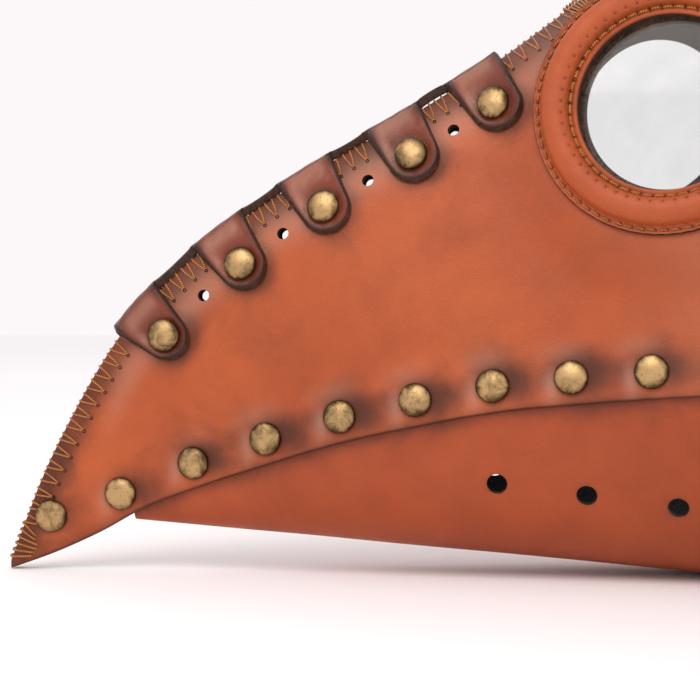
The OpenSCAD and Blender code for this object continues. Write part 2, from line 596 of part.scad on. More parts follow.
// Loop that keeps the straps together, its middle at a
module keeper(reach, a) {
    inside = [-strap_t * 1.5 - 0.1 - 0.3, FREE_OUT_B + strap_t / 2 + 0.3];
    half_c = strap_w / 2 + 0.4;
    translate([a - KEEPER_W / 2, reach, 0]) difference() {
        translate([0, inside[0] - KEEPER_T, -half_c - KEEPER_T])
            cube([KEEPER_W, inside[1] - inside[0] + 2 * KEEPER_T, 2 * (half_c + KEEPER_T)]);
        translate([-1, inside[0], -half_c]) cube([KEEPER_W + 2, inside[1] - inside[0], 2 * half_c]);
    }
}
module buckle_frame(reach) {
    translate([0, reach + HEEL_B, 0]) {
        for (a = [HEEL_A, FRONT_A]) translate([a, 0, 0]) cylinder(r = BAR_R, h = 2 * RAIL_C, center = true);
        for (c = [-RAIL_C, RAIL_C]) {
            translate([FRONT_A, 0, c]) rotate([0, 90, 0]) cylinder(r = BAR_R, h = HEEL_A - FRONT_A);
            for (a = [HEEL_A, FRONT_A]) translate([a, 0, c]) sphere(r = BAR_R);
        }
    }
}
module buckle_prong(reach) {
    tip = [FRONT_A - 1.6, BAR_R + PRONG_R + 0.42];
    root = [HEEL_A - 1.6, 0.5];
    translate([0, reach + HEEL_B, 0]) difference() {
        union() {
            translate([HEEL_A, 0, 0]) cylinder(r = BAR_R + 1.1, h = 3, center = true);
            aim([root[0], root[1], 0], [tip[0] - root[0], tip[1] - root[1], 0])
                cylinder(r = PRONG_R, h = norm(tip - root));
        }
        translate([HEEL_A, 0, 0]) cylinder(r = BAR_R + 0.08, h = 5, center = true);
    }
}
module pivot_rivet() {
    rotate([0, 90, 0]) translate([0, 0, STRAP_X])
        rivet(strap_t / 2 + PIVOT_GAP, -strap_t / 2 - PIVOT_GAP - panel_t - CAP_GAP, PIVOT_CAP_D, PIVOT_D);
}
module pivot_rivets() {
    pivot_rivet();
    right_hand() pivot_rivet();
}
module upper_plane() {
    centred() translate([0, UPPER_PIVOT[0], UPPER_PIVOT[1]]) rotate([upper_tilt, 0, 0]) children();
}
module lower_plane() {
    centred() translate([0, LOWER_PIVOT[0], LOWER_PIVOT[1]]) rotate([lower_tilt, 0, 0]) children();
}
module upper_pivot_rivets() { color(BRASS) upper_plane() pivot_rivets(); }
module upper_buckle_strap() { color(BROWN) upper_plane() buckle_strap(upper_reach); }
module upper_holed_strap() { color(BROWN) upper_plane() holed_strap(upper_reach); }
module upper_fixed_keeper() { color(BROWN) upper_plane() keeper(upper_reach, FIXED_KEEPER_A); }
module upper_sliding_keeper() { color(BROWN) upper_plane() keeper(upper_reach, SLIDING_KEEPER_A); }
module upper_buckle_frame() { color(BRASS) upper_plane() buckle_frame(upper_reach); }
module upper_buckle_prong() { color(BRASS) upper_plane() buckle_prong(upper_reach); }
module lower_pivot_rivets() { color(BRASS) lower_plane() pivot_rivets(); }
module lower_buckle_strap() { color(BROWN) lower_plane() buckle_strap(lower_reach); }
module lower_holed_strap() { color(BROWN) lower_plane() holed_strap(lower_reach); }
module lower_fixed_keeper() { color(BROWN) lower_plane() keeper(lower_reach, FIXED_KEEPER_A); }
module lower_sliding_keeper() { color(BROWN) lower_plane() keeper(lower_reach, SLIDING_KEEPER_A); }
module lower_buckle_frame() { color(BRASS) lower_plane() buckle_frame(lower_reach); }
module lower_buckle_prong() { color(BRASS) lower_plane() buckle_prong(lower_reach); }

left_side_panel();
right_side_panel();
beak_underside();
forehead_panel();
ridge_strap();
left_eye_ring_cover();
right_eye_ring_cover();
left_eye_ring_padding();
right_eye_ring_padding();
left_lens();
right_lens();
left_lens_gasket();
right_lens_gasket();
left_lens_retainer();
right_lens_retainer();
left_ridge_rivets();
right_ridge_rivets();
left_lower_rivets();
right_lower_rivets();
tip_rivets();
left_forehead_rivets();
right_forehead_rivets();
forehead_pad();
upper_pivot_rivets();
upper_buckle_strap();
upper_holed_strap();
upper_fixed_keeper();
upper_sliding_keeper();
upper_buckle_frame();
upper_buckle_prong();
lower_pivot_rivets();
lower_buckle_strap();
lower_holed_strap();
lower_fixed_keeper();
lower_sliding_keeper();
lower_buckle_frame();
lower_buckle_prong();
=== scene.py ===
"""Looks of the plague doctor mask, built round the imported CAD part.

Side-view places are in millimetres, as in part.scad: f is the distance back from the
beak's tip and h the height. build() turns them into the frame's metres.
"""

import math

import bmesh
import bpy
import numpy as np
from mathutils import Matrix, Vector


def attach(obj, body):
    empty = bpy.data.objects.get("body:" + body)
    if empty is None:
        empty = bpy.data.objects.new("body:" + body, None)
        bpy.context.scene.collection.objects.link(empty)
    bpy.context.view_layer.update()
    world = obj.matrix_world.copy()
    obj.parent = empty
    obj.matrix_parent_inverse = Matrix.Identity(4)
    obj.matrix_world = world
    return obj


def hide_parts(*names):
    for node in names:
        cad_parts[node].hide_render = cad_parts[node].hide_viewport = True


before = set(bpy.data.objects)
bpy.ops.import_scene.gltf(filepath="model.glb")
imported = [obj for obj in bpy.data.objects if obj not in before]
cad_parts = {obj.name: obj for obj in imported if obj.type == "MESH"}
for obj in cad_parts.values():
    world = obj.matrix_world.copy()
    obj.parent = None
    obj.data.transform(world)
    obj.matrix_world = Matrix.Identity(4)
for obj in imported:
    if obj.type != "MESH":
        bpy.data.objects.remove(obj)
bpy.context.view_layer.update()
RNG = np.random.default_rng(7)

# ---------------------------------------------------------------- sizes, as in part.scad

MM = 0.001
MIRROR = np.array([-1, 1, 1])
SIDES = (("left", np.array([1, 1, 1])), ("right", MIRROR))
PANEL_T = 2.0
GUSSET_T = 1.8
TAB_T = 2.2
GAP = 0.2
CAP_D = 9.5
CAP_H = 2.2
LOWER_PITCH = 21.4
LOWER_COUNT = 12
EYE_D = 50.0
RING_D = 75.0
ROLL_H = 4.4
VENT_D = 5.7
VENT_COUNT = 6
PIN_VENT_D = 3.4
STRAP_W = 18.0
STRAP_T = 2.4
UPPER_REACH = 118.0
LOWER_REACH = 132.0
UPPER_TILT = 24.0
LOWER_TILT = 6.0

TOP = [(0, 2.6), (9, 26.2), (18, 44.6), (31, 66.3), (50, 87.1), (70, 102.8), (95, 118.6), (120, 133),
       (145, 148.9), (162.6, 161.8), (185, 179.6), (205, 190), (230, 198), (265, 203), (302, 200)]
BOTTOM = [(0, 0.2), (15, 5.8), (27, 11.4), (39, 18.2), (56, 25), (74, 31.2), (97, 38.5), (119, 43.7),
          (141, 48), (168, 51), (192, 53), (230, 54.5), (302, 52)]
TOP_X = [(0, 1.25), (150, 1.25), (162.6, 1.6), (168, 5), (175, 10), (185, 15), (205, 22.8), (230, 33.5),
         (255, 48.5), (270, 61.5), (280, 68), (286, 70), (294, 70), (302, 70)]
BOTTOM_X = [(0, 1.3), (27, 2.3), (34, 3.4), (39, 4.4), (56, 8.2), (74, 13), (97, 19), (119, 24), (141, 28.5),
            (168, 34), (192, 39.5), (230, 50.5), (262, 63.5), (278, 69), (286, 70), (294, 70), (302, 70)]
CREST = [(0, 0.55), (140, 0.55), (190, 0.75), (230, 0.9), (302, 0.9)]
KEEL = [(34, 14.9), (85, 10.6), (142, 6), (197, 1.2), (212, 0), (262, 0), (284, 1.5)]
REAR_F = 288.0
REAR_EAR = 12.0
REAR_CORNER_R = 12.0
GUSSET_FROM, GUSSET_TO = 36.0, 284.0
GUSSET_FLAP = 12.0
GUSSET_POWER = 2.5
EYE = np.array([26.0, 188.0, 133.0])
EYE_FRONT, EYE_UP = 0.3, 0.22
EYE_FLAT_R, EYE_BLEND_R, EYE_RIDGE_BLEND = 38.0, 56.0, 9.0
TAB_F = [38.3, 62.4, 87.3, 112.5, 135.6]
TAB_RIVET_D = 10.8
TAB_R = 7.5
TAB_HALF = 8.8
NECK_OUT, NECK_IN = 2.1, 3.4
NECK_START = 0.5
CREST_LIFT = 2.4
CREST_ARC = 4.6
PIN_VENT_DEPTH = 10.2
LOWER_FROM = 11.8
LOWER_UP = 7.4
TIP_RIVET_H = 15.6
VENT_FROM, VENT_PITCH, VENT_H, VENT_FALL = 141.0, 24.6, 28.0, 0.108
FOREHEAD_RIVET_F = [197.0, 215.0, 233.0, 252.0]
FOREHEAD_FLAP, FOREHEAD_FLAP_NARROW = 11.0, 4.5
FOREHEAD_FROM, FOREHEAD_TO = 167.0, 284.0
FOREHEAD_BULGE = 66.0
FOREHEAD_RISE = math.radians(27)
FOREHEAD_IN = PANEL_T + GAP
REAR_X = 70.0
UPPER_PIVOT = (290.0, 181.0)
LOWER_PIVOT = (290.0, 80.0)
PIVOT_GAP = 0.4
PIVOT_CAP_D = 11.0
STRAP_X = REAR_X + PANEL_T / 2 + PIVOT_GAP + STRAP_T / 2
STRAP_STRAIGHT = 14.0
BACK_HALF = 38.0
HEEL_A = 8.0
FRONT_A = -12.0
BAR_R = 1.25
HEEL_B = -(STRAP_T / 2 + BAR_R + 0.2)
FREE_IN_B = HEEL_B - BAR_R - 0.25 - STRAP_T / 2
FREE_OUT_B = STRAP_T + 0.15
FREE_RISE = (-9.5, 3.5)
TAIL_T = 0.62
FOLD_END_A = 34.0
SLOT_W = 3.4
HOLE_PITCH = 15.0
FIXED_KEEPER_A = 18.5
SLIDING_KEEPER_A = 31.0
KEEPER_T = 1.6
KEEPER_W = 8.0
RAIL_C = STRAP_W / 2 + 2.4
PRONG_R = 1.1
Y_MID = (LOWER_PIVOT[0] + (LOWER_REACH + FREE_OUT_B + STRAP_T / 2 + KEEPER_T)
         * math.cos(math.radians(LOWER_TILT))) / 2

# ---------------------------------------------------------------- curves and surfaces


def curve(table, f):
    """Smooth curve through a table's points, the same as in part.scad."""
    x, y = np.array(table, float).T
    gap, chord = np.diff(x), np.diff(y) / np.diff(x)
    slope = np.r_[chord[0], (chord[:-1] * gap[1:] + chord[1:] * gap[:-1]) / (gap[1:] + gap[:-1]), chord[-1]]
    f = np.asarray(f, float)
    i = np.clip(np.searchsorted(x, f, "right") - 1, 0, len(x) - 2)
    s = (f - x[i]) / gap[i]
    a, b, ma, mb = y[i], y[i + 1], slope[i] * gap[i], slope[i + 1] * gap[i]
    return a + s * ma + s * s * (3 * (b - a) - 2 * ma - mb) + s**3 * (2 * (a - b) + ma + mb)


def smooth(v):
    s = np.clip(v, 0, 1)
    return s * s * (3 - 2 * s)


def glow(x, width, power=1.0):
    """1 up to x = 0, fading out over a width beyond it."""
    return np.exp(-(np.maximum(x, 0) / width) ** power)


def bell(x, width):
    return np.exp(-(x / width) ** 2)


def mix(a, b, t):
    return a + (b - a) * t


def unit(v):
    return v / np.maximum(np.linalg.norm(v, axis=-1, keepdims=True), 1e-9)


def stack(*parts):
    return np.stack(np.broadcast_arrays(*parts), -1).astype(float)


def panel_point(f, v):
    """Middle surface of the left side panel: v is 0 on its top edge and 1 on its lower edge."""
    top, bottom = curve(TOP, f), curve(BOTTOM, f)
    h = mix(top, bottom, v)
    x = mix(curve(TOP_X, f), curve(BOTTOM_X, f), np.maximum(v, 0) ** curve(CREST, f))
    r = np.hypot(f - EYE[1], h - EYE[2])
    flat = smooth((EYE_BLEND_R - r) / (EYE_BLEND_R - EYE_FLAT_R)) * smooth((top - h) / EYE_RIDGE_BLEND)
    plane = EYE[0] + EYE_FRONT * (f - EYE[1]) - EYE_UP * (h - EYE[2])
    return stack(mix(x, plane, flat), f, h)


def panel_v(f, h):
    return (curve(TOP, f) - h) / (curve(TOP, f) - curve(BOTTOM, f))


def panel_normal(f, v):
    step_f, step_v = 0.4, 0.006
    w = np.clip(v, 2 * step_v, 1 - 2 * step_v)
    along = panel_point(f + step_f, w) - panel_point(f - step_f, w)
    down = panel_point(f, w + step_v) - panel_point(f, w - step_v)
    return unit(np.cross(down, along))


def off_panel(f, v, d):
    p = panel_point(f, v) + np.asarray(d)[..., None] * panel_normal(f, v)
    p[..., 0] = np.maximum(p[..., 0], 0.15)
    return p


def ridge_angle(f):
    return np.arctan((curve(TOP, f + 0.4) - curve(TOP, f - 0.4)) / 0.8)


def lower_angle(f):
    return np.arctan((curve(BOTTOM, f + 0.4) - curve(BOTTOM, f - 0.4)) / 0.8)


def below_ridge(f, d):
    a = ridge_angle(f)
    return f + d * np.sin(a), curve(TOP, f) - d * np.cos(a)


def rear_f(v):
    return REAR_F + REAR_EAR * (2 * v - 1) ** 2


def lower_spot(i):
    f = LOWER_FROM + LOWER_PITCH * i
    return f, float(curve(BOTTOM, f)) + LOWER_UP


RIDGE_RIVETS = [tuple(float(c) for c in below_ridge(f, TAB_RIVET_D)) for f in TAB_F]
PIN_VENTS = [tuple(float(c) for c in below_ridge((a + b) / 2, PIN_VENT_DEPTH))
             for a, b in zip(TAB_F, TAB_F[1:])]
TIP_RIVETS = [(LOWER_FROM, TIP_RIVET_H), lower_spot(1)]
LOWER_RIVETS = [lower_spot(i) for i in range(2, LOWER_COUNT + 1)]
FOREHEAD_RIVETS = [(f, float(curve(TOP, f)) - FOREHEAD_FLAP / 2 - 0.5) for f in FOREHEAD_RIVET_F]
EYE_N = unit(np.array([1, -EYE_FRONT, EYE_UP]))

# ---------------------------------------------------------------- meshes


def to_frame(p):
    """Design millimetres (x, f, h) to the frame's metres."""
    return (np.asarray(p, float) - (0, Y_MID, 0)) * MM


def from_frame(p):
    return np.asarray(p, float) / MM + (0, Y_MID, 0)


def build(name, points, faces, materials, index=None, mirror=False):
    """Makes an object from design points. mirror makes the right-hand one."""
    p = to_frame(points)
    if mirror:
        p = p * MIRROR
        faces = [face[::-1] for face in faces] if isinstance(faces, list) else faces[:, ::-1]
    me = bpy.data.meshes.new(name)
    me.from_pydata(p.tolist(), [], faces if isinstance(faces, list) else faces.tolist())
    if index is not None:
        me.polygons.foreach_set("material_index", np.asarray(index, np.int32))
    me.polygons.foreach_set("use_smooth", np.ones(len(me.polygons), bool))
    for m in materials:
        me.materials.append(m)
    me.validate()
    me.update()
    o = bpy.data.objects.new(name, me)
    bpy.context.scene.collection.objects.link(o)
    return o


def grid_quads(rows, cols, start=0, close_rows=False, close_cols=False):
    i = np.arange(rows if close_rows else rows - 1)
    j = np.arange(cols if close_cols else cols - 1)
    i, j = np.meshgrid(i, j, indexing="ij")
    a, b = i * cols + j, i * cols + (j + 1) % cols
    c, d = ((i + 1) % rows) * cols + (j + 1) % cols, ((i + 1) % rows) * cols + j
    return np.stack([a, b, c, d], -1).reshape(-1, 4) + start


def slab(outer, inner):
    """Closed mesh between two grids: points, quads, each quad's kind (0 outer, 1 inner, 2 cut edge)."""
    rows, cols = outer.shape[:2]
    n = rows * cols
    ids = np.arange(n).reshape(rows, cols)
    ring = np.concatenate([ids[:-1, 0], ids[-1, :-1], ids[:0:-1, -1], ids[0, :0:-1]])
    following = np.roll(ring, -1)
    rim = np.stack([ring, following, following + n, ring + n], -1)
    front = grid_quads(rows, cols)
    back = grid_quads(rows, cols, n)[:, ::-1]
    points = np.concatenate([outer.reshape(-1, 3), inner.reshape(-1, 3)])
    kind = np.concatenate([np.zeros(len(front)), np.ones(len(back)), np.full(len(rim), 2)])
    return points, np.concatenate([front, back, rim[:, ::-1]]), kind


def ring_quads(rows, cols):
    return grid_quads(rows, cols, close_rows=True, close_cols=True)


def turn_out(o):
    """Makes a closed mesh's faces point outwards."""
    bm = bmesh.new()
    bm.from_mesh(o.data)
    bmesh.ops.recalc_face_normals(bm, faces=bm.faces)
    bm.to_mesh(o.data)
    bm.free()


def attribute(o, name, values):
    a = o.data.attributes.new(name, "FLOAT", "POINT")
    a.data.foreach_set("value", np.asarray(values, np.float32))


def coords(o):
    co = np.empty(len(o.data.vertices) * 3, np.float32)
    o.data.vertices.foreach_get("co", co)
    return co.reshape(-1, 3).astype(float)


def lathe_about(profile, centre, normal, segments, wobble=None):
    """Points of a profile [(r, z), ...] turned about a design-space axis."""
    normal = unit(np.asarray(normal, float))
    side = unit(np.cross(normal, (0, 0, 1.0)) if abs(normal[2]) < 0.99 else np.array([1.0, 0, 0]))
    up = np.cross(normal, side)
    turn = np.arange(segments) * 2 * math.pi / segments
    r, z = np.asarray(profile, float).T
    rr, zz = np.broadcast_to(r, (segments, len(r))).copy(), np.broadcast_to(z, (segments, len(z))).copy()
    if wobble is not None:
        zz = zz + wobble(rr, turn[:, None])
    ring = np.cos(turn)[:, None, None] * side + np.sin(turn)[:, None, None] * up
    return np.asarray(centre) + rr[..., None] * ring + zz[..., None] * normal


def cut(o, cutters):
    """Cuts cylinders (base, axis, radius, length), in design millimetres, out of a closed mesh."""
    bm = bmesh.new()
    for base, axis, radius, length in cutters:
        axis = unit(np.asarray(axis, float))
        at = Vector(to_frame(np.asarray(base)))
        turn = Vector(axis).to_track_quat("Z", "Y").to_matrix().to_4x4()
        bmesh.ops.create_cone(bm, cap_ends=True, segments=48 if radius < 10 else 192, radius1=radius * MM,
                              radius2=radius * MM, depth=length * MM, matrix=Matrix.Translation(at) @ turn)
    apply_cut(o, bm)


def apply_cut(o, bm):
    me = bpy.data.meshes.new("cutter")
    bm.to_mesh(me)
    bm.free()
    for m in o.data.materials:
        me.materials.append(m)
    me.polygons.foreach_set("material_index", np.full(len(me.polygons), len(o.data.materials) - 1, np.int32))
    tool = bpy.data.objects.new("cutter", me)
    bpy.context.scene.collection.objects.link(tool)
    mod = o.modifiers.new("cut", "BOOLEAN")
    mod.operation = "DIFFERENCE"
    mod.object = tool
    mod.solver = "EXACT"
    mod.material_mode = "INDEX"
    dg = bpy.context.evaluated_depsgraph_get()
    result = bpy.data.meshes.new_from_object(o.evaluated_get(dg), depsgraph=dg)
    o.modifiers.clear()
    old = o.data
    o.data = result
    result.name = o.name
    bpy.data.meshes.remove(old)
    bpy.data.objects.remove(tool)
    bpy.data.meshes.remove(me)


def crisp(o, degrees=38):
    """Smooth faces, with the creases sharper than this angle kept."""
    bm = bmesh.new()
    bm.from_mesh(o.data)
    limit = math.radians(degrees)
    for e in bm.edges:
        e.smooth = len(e.link_faces) != 2 or e.calc_face_angle(0) < limit
    for face in bm.faces:
        face.smooth = True
    bm.to_mesh(o.data)
    bm.free()


def solid(degrees, *args, **kwargs):
    """build() for a closed shell, with its faces outwards and the creases above this angle kept."""
    o = build(*args, **kwargs)
    turn_out(o)
    crisp(o, degrees)
    return o


def piece(o, body, *nodes, finish):
    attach(o, body)
    if nodes:
        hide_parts(*nodes)
    return o


def edge_drop(distance, reach=0.55, amount=0.5):
    """How much a cut edge is rounded off, this far from the edge."""
    s = np.clip(1 - distance / reach, 0, 1)
    return amount * (1 - np.sqrt(np.clip(1 - s * s, 0, 1)))


RIM_STEPS = np.array([0.0, 0.12, 0.3, 0.55, 1.1])


def rim_spaced(count, length, squeeze=8.0):
    """Places from 0 to length, as shares, close together by both ends. length may be an array."""
    length = np.asarray(length, float)[..., None]
    near = RIM_STEPS * np.minimum(1, length / squeeze) / length
    start, end = near[..., -1:], 1 - near[..., -1:]
    middle = mix(start, end, np.linspace(0, 1, count)[1:-1])
    return np.concatenate([near, middle, 1 - near[..., ::-1]], -1)

# ---------------------------------------------------------------- materials


class Nodes:
    """Short way to write a material's node tree."""

    def __init__(self, name):
        self.material = bpy.data.materials.new(name)
        self.material.use_nodes = True
        self.tree = self.material.node_tree
        self.tree.nodes.clear()
        self.out = self.tree.nodes.new("ShaderNodeOutputMaterial")
        self.shader = self.tree.nodes.new("ShaderNodeBsdfPrincipled")
        self.tree.links.new(self.shader.outputs[0], self.out.inputs["Surface"])
        self.place = self.node("ShaderNodeTexCoord").outputs["Object"]

    def node(self, kind, **settings):
        n = self.tree.nodes.new(kind)
        for key, value in settings.items():
            setattr(n, key, value)
        return n

    def feed(self, socket, value):
        """Links a node's output, or sets a number or a colour of three numbers."""
        if isinstance(value, bpy.types.NodeSocket):
            self.tree.links.new(value, socket)
        else:
            socket.default_value = (*value, 1.0) if isinstance(value, tuple) else value

    def texture(self, kind, output, vector, inputs, **settings):
        n = self.node(kind, **settings)
        self.feed(n.inputs["Vector"], vector)
        for key, value in inputs.items():
            n.inputs[key].default_value = value
        return n.outputs[output]

    def noise(self, scale, detail=3.0, roughness=0.5, distortion=0.0):
        inputs = {"Scale": scale, "Detail": detail, "Roughness": roughness, "Distortion": distortion}
        return self.texture("ShaderNodeTexNoise", "Fac", self.place, inputs)

    def cells(self, scale, feature="F1"):
        return self.texture("ShaderNodeTexVoronoi", "Distance", self.place, {"Scale": scale}, feature=feature)

    def wave(self, scale, vector, distortion, direction):
        inputs = {"Scale": scale, "Distortion": distortion}
        return self.texture("ShaderNodeTexWave", "Fac", vector, inputs, bands_direction=direction)

    def value(self, name):
        return self.node("ShaderNodeAttribute", attribute_name=name).outputs["Fac"]

    def math(self, operation, a, b=0.0):
        n = self.node("ShaderNodeMath", operation=operation)
        self.feed(n.inputs[0], a)
        self.feed(n.inputs[1], b)
        return n.outputs[0]

    def ramp(self, value, low, high, out_low=0.0, out_high=1.0):
        n = self.node("ShaderNodeMapRange", interpolation_type="SMOOTHSTEP")
        ends = {"Value": value, "From Min": low, "From Max": high, "To Min": out_low, "To Max": out_high}
        for key, v in ends.items():
            self.feed(n.inputs[key], v)
        return n.outputs[0]

    def blend(self, factor, a, b):
        n = self.node("ShaderNodeMix", data_type="RGBA")
        self.feed(n.inputs[0], factor)
        self.feed(n.inputs[6], a)
        self.feed(n.inputs[7], b)
        return n.outputs[2]

    def bump(self, height, distance, strength=1.0, normal=None):
        n = self.node("ShaderNodeBump")
        n.inputs["Strength"].default_value = strength
        n.inputs["Distance"].default_value = distance
        self.feed(n.inputs["Height"], height)
        if normal is not None:
            self.feed(n.inputs["Normal"], normal)
        return n.outputs[0]

    def finish(self, colour, roughness, normal=None, metallic=0.0, **sockets):
        self.feed(self.shader.inputs["Base Color"], colour)
        self.feed(self.shader.inputs["Roughness"], roughness)
        self.shader.inputs["Metallic"].default_value = metallic
        for key, v in sockets.items():
            self.shader.inputs[key.replace("_", " ")].default_value = v
        if normal is not None:
            self.feed(self.shader.inputs["Normal"], normal)
        return self.material


def srgb(*colour):
    """A colour given as 0 to 255 values."""
    shares = (c / 255 for c in colour)
    return tuple(c / 12.92 if c <= 0.04045 else ((c + 0.055) / 1.055) ** 2.4 for c in shares)


def leather(name, base, light, burnish_and_shade_colour, pore_scale=1500, grain=0.00009, rough=(0.36, 0.52)):
    """Waxed full-grain leather. One attribute darkens it, for burnished leather and for painted shade; the
    other pales it with a painted sheen highlight.
    """
    n = Nodes(name)
    clouds = n.noise(16, 4, 0.55)
    fine = n.noise(120, 5, 0.6)
    mottle = n.noise(46, 4, 0.6, distortion=0.6)
    colour = n.blend(n.ramp(clouds, 0.36, 0.68), base, light)
    colour = n.blend(n.ramp(mottle, 0.3, 0.8, 0.0, 0.22), colour, burnish_and_shade_colour)
    colour = n.blend(n.ramp(fine, 0.25, 0.75, 0.0, 0.12), colour, tuple(0.6 * c for c in base))
    # darken towards the dark colour where the mesh asks: burnished leather, and painted shade
    burnish_and_shade = n.math("ADD", n.value("burnish_and_shade"), n.ramp(mottle, 0.2, 0.8, -0.16, 0.16))
    burnish_and_shade = n.math("ADD", burnish_and_shade, n.ramp(fine, 0.2, 0.8, -0.06, 0.06))
    colour = n.blend(n.ramp(burnish_and_shade, 0.08, 0.95, 0.0, 0.92), colour, burnish_and_shade_colour)
    # painted sheen: blend towards a pale pinkish highlight where the mesh asks
    painted_sheen = n.math("MULTIPLY", n.value("painted_sheen"), n.ramp(mottle, 0.25, 0.75, 0.7, 1.2))
    colour = n.blend(painted_sheen, colour, srgb(184, 134, 112))
    pores = n.cells(pore_scale, "F1")
    wrinkles = n.cells(pore_scale * 0.42, "DISTANCE_TO_EDGE")
    dark_pore = n.ramp(pores, 0.05, 0.3, 0.13, 0.0)
    colour = n.blend(dark_pore, colour, tuple(0.35 * c for c in burnish_and_shade_colour))
    scuffs = n.noise(260, 2, 0.4, distortion=1.6)
    roughness = n.ramp(n.math("ADD", mottle, n.math("MULTIPLY", scuffs, 0.4)), 0.4, 1.0, *rough)
    height = n.math("ADD", n.math("MULTIPLY", n.ramp(pores, 0.0, 0.45), 0.7),
                    n.math("MULTIPLY", n.ramp(wrinkles, 0.0, 0.12), 0.5))
    height = n.math("ADD", height, n.math("MULTIPLY", n.noise(900, 3, 0.6), 0.6))
    normal = n.bump(height, grain, 0.55)
    normal = n.bump(n.noise(70, 3, 0.5), 0.0005, 0.16, normal)
    return n.finish(colour, roughness, normal, Specular_IOR_Level=0.34)


def cut_edge(name, dark, mid):
    """Cut leather edge: fibrous, painted dark and rubbed."""
    n = Nodes(name)
    fibres = n.noise(900, 5, 0.7)
    bands = n.noise(150, 3, 0.6, distortion=1.0)
    colour = n.blend(n.ramp(fibres, 0.35, 0.75), dark, mid)
    colour = n.blend(n.ramp(bands, 0.45, 0.8, 0.0, 0.5), colour, tuple(1.5 * c for c in mid))
    roughness = n.ramp(bands, 0.2, 0.8, 0.6, 0.85)
    return n.finish(colour, roughness, n.bump(fibres, 0.00025, 0.7), Specular_IOR_Level=0.3)


def lining(name, dark, light):
    """Close-woven cloth glued to the inside of the leather."""
    n = Nodes(name)
    turn = n.node("ShaderNodeMapping")
    n.feed(turn.inputs["Vector"], n.place)
    turn.inputs["Rotation"].default_value = (0.6, 0.3, 0.2)
    warp = n.wave(420, turn.outputs[0], 0.4, "Y")
    weft = n.wave(420, turn.outputs[0], 0.4, "Z")
    weave = n.math("MULTIPLY", warp, weft)
    fuzz = n.noise(500, 4, 0.7)
    colour = n.blend(n.ramp(weave, 0.1, 0.8), dark, light)
    colour = n.blend(n.ramp(n.noise(30, 3), 0.4, 0.8, 0.0, 0.4), colour, tuple(0.5 * c for c in dark))
    height = n.math("ADD", weave, n.math("MULTIPLY", fuzz, 0.5))
    return n.finish(colour, 0.9, n.bump(height, 0.0003, 0.6), Sheen_Weight=0.25, Specular_IOR_Level=0.2)


def thread(name, dark, light):
    """Waxed thread: the twist attribute runs along it and gives its lay."""
    n = Nodes(name)
    lay = n.math("SINE", n.math("MULTIPLY", n.value("twist"), 6.283))
    colour = n.blend(n.ramp(lay, -0.9, 0.9), dark, light)
    colour = n.blend(n.ramp(n.noise(350, 2), 0.35, 0.7, 0.0, 0.35), colour, dark)
    return n.finish(colour, 0.5, n.bump(lay, 0.00009, 0.8), Specular_IOR_Level=0.4)


def brass(name):
    """Antique brass: bright where it is rubbed, brown-green in the low places."""
    n = Nodes(name)
    blotch = n.noise(260, 5, 0.65, distortion=0.5)
    specks = n.noise(1400, 3, 0.6)
    rub = n.value("rub")
    wear = n.math("ADD", n.math("MULTIPLY", rub, 0.75), n.math("MULTIPLY", n.ramp(blotch, 0.3, 0.72), 0.55))
    colour = n.blend(n.ramp(wear, 0.2, 1.0), srgb(76, 61, 38), srgb(190, 155, 108))
    colour = n.blend(n.ramp(specks, 0.58, 0.72, 0.0, 0.55), colour, srgb(70, 56, 36))
    roughness = n.ramp(n.math("ADD", blotch, n.math("MULTIPLY", specks, 0.3)), 0.4, 0.95, 0.3, 0.5)
    height = n.math("ADD", n.math("MULTIPLY", specks, 0.5), blotch)
    return n.finish(colour, roughness, n.bump(height, 0.00012, 0.35), metallic=1.0)


def foam(name, dark, light):
    """Felt-faced foam."""
    n = Nodes(name)
    fibres = n.noise(700, 6, 0.75, distortion=2.0)
    colour = n.blend(n.ramp(fibres, 0.3, 0.7), dark, light)
    return n.finish(colour, 0.95, n.bump(fibres, 0.0005, 0.6), Sheen_Weight=0.4, Specular_IOR_Level=0.15)


def clear(name):
    """Clear plastic lens, slightly smoky, with faint smears."""
    n = Nodes(name)
    smear = n.noise(38, 4, 0.6, distortion=1.2)
    return n.finish(n.blend(n.ramp(smear, 0.3, 0.8), (0.93, 0.94, 0.94), (0.86, 0.87, 0.87)),
                    n.ramp(smear, 0.4, 0.9, 0.03, 0.09), IOR=1.3, Transmission_Weight=1.0)


TAN = leather("tan leather", srgb(163, 71, 29), srgb(180, 84, 38), srgb(70, 31, 17))
UNDER = leather("underside leather", srgb(156, 64, 26), srgb(168, 74, 33), srgb(92, 42, 24))
RIDGE = leather("ridge leather", srgb(108, 47, 28), srgb(130, 60, 37), srgb(42, 19, 12), rough=(0.3, 0.44))
STRAP = leather("strap leather", srgb(128, 58, 36), srgb(144, 70, 44), srgb(48, 25, 19))
RING = leather("eye ring leather", srgb(174, 78, 34), srgb(184, 88, 42), srgb(70, 30, 16))
EDGE = cut_edge("cut edge", srgb(44, 27, 19), srgb(80, 52, 38))
SUEDE = cut_edge("flesh side", srgb(66, 47, 38), srgb(118, 88, 68))
LINING = lining("lining cloth", srgb(38, 35, 36), srgb(78, 73, 74))
GOLD_THREAD = thread("gold thread", srgb(128, 68, 28), srgb(214, 140, 66))
BRASS = brass("antique brass")
# needle-hole cups: the dark colour is painted shade inside the holes
NEEDLE_HOLE_SHADE = cut_edge("needle hole", srgb(30, 17, 11), srgb(54, 31, 21))
FOAM = foam("dark felt", srgb(34, 31, 32), srgb(66, 61, 62))
CLEAR = clear("clear lens")
RUBBER = cut_edge("black rubber", srgb(20, 20, 21), srgb(38, 37, 38))

# ---------------------------------------------------------------- side panels


def dip(f, h, places, inner, width, depth):
    """Soft hollow round each place of a list, flat inside its inner radius."""
    total = np.zeros(np.broadcast(f, h).shape)
    for pf, ph in places:
        r = np.hypot(f - pf, h - ph)
        total = np.maximum(total, depth * glow(r - inner, width, 2))
    return total


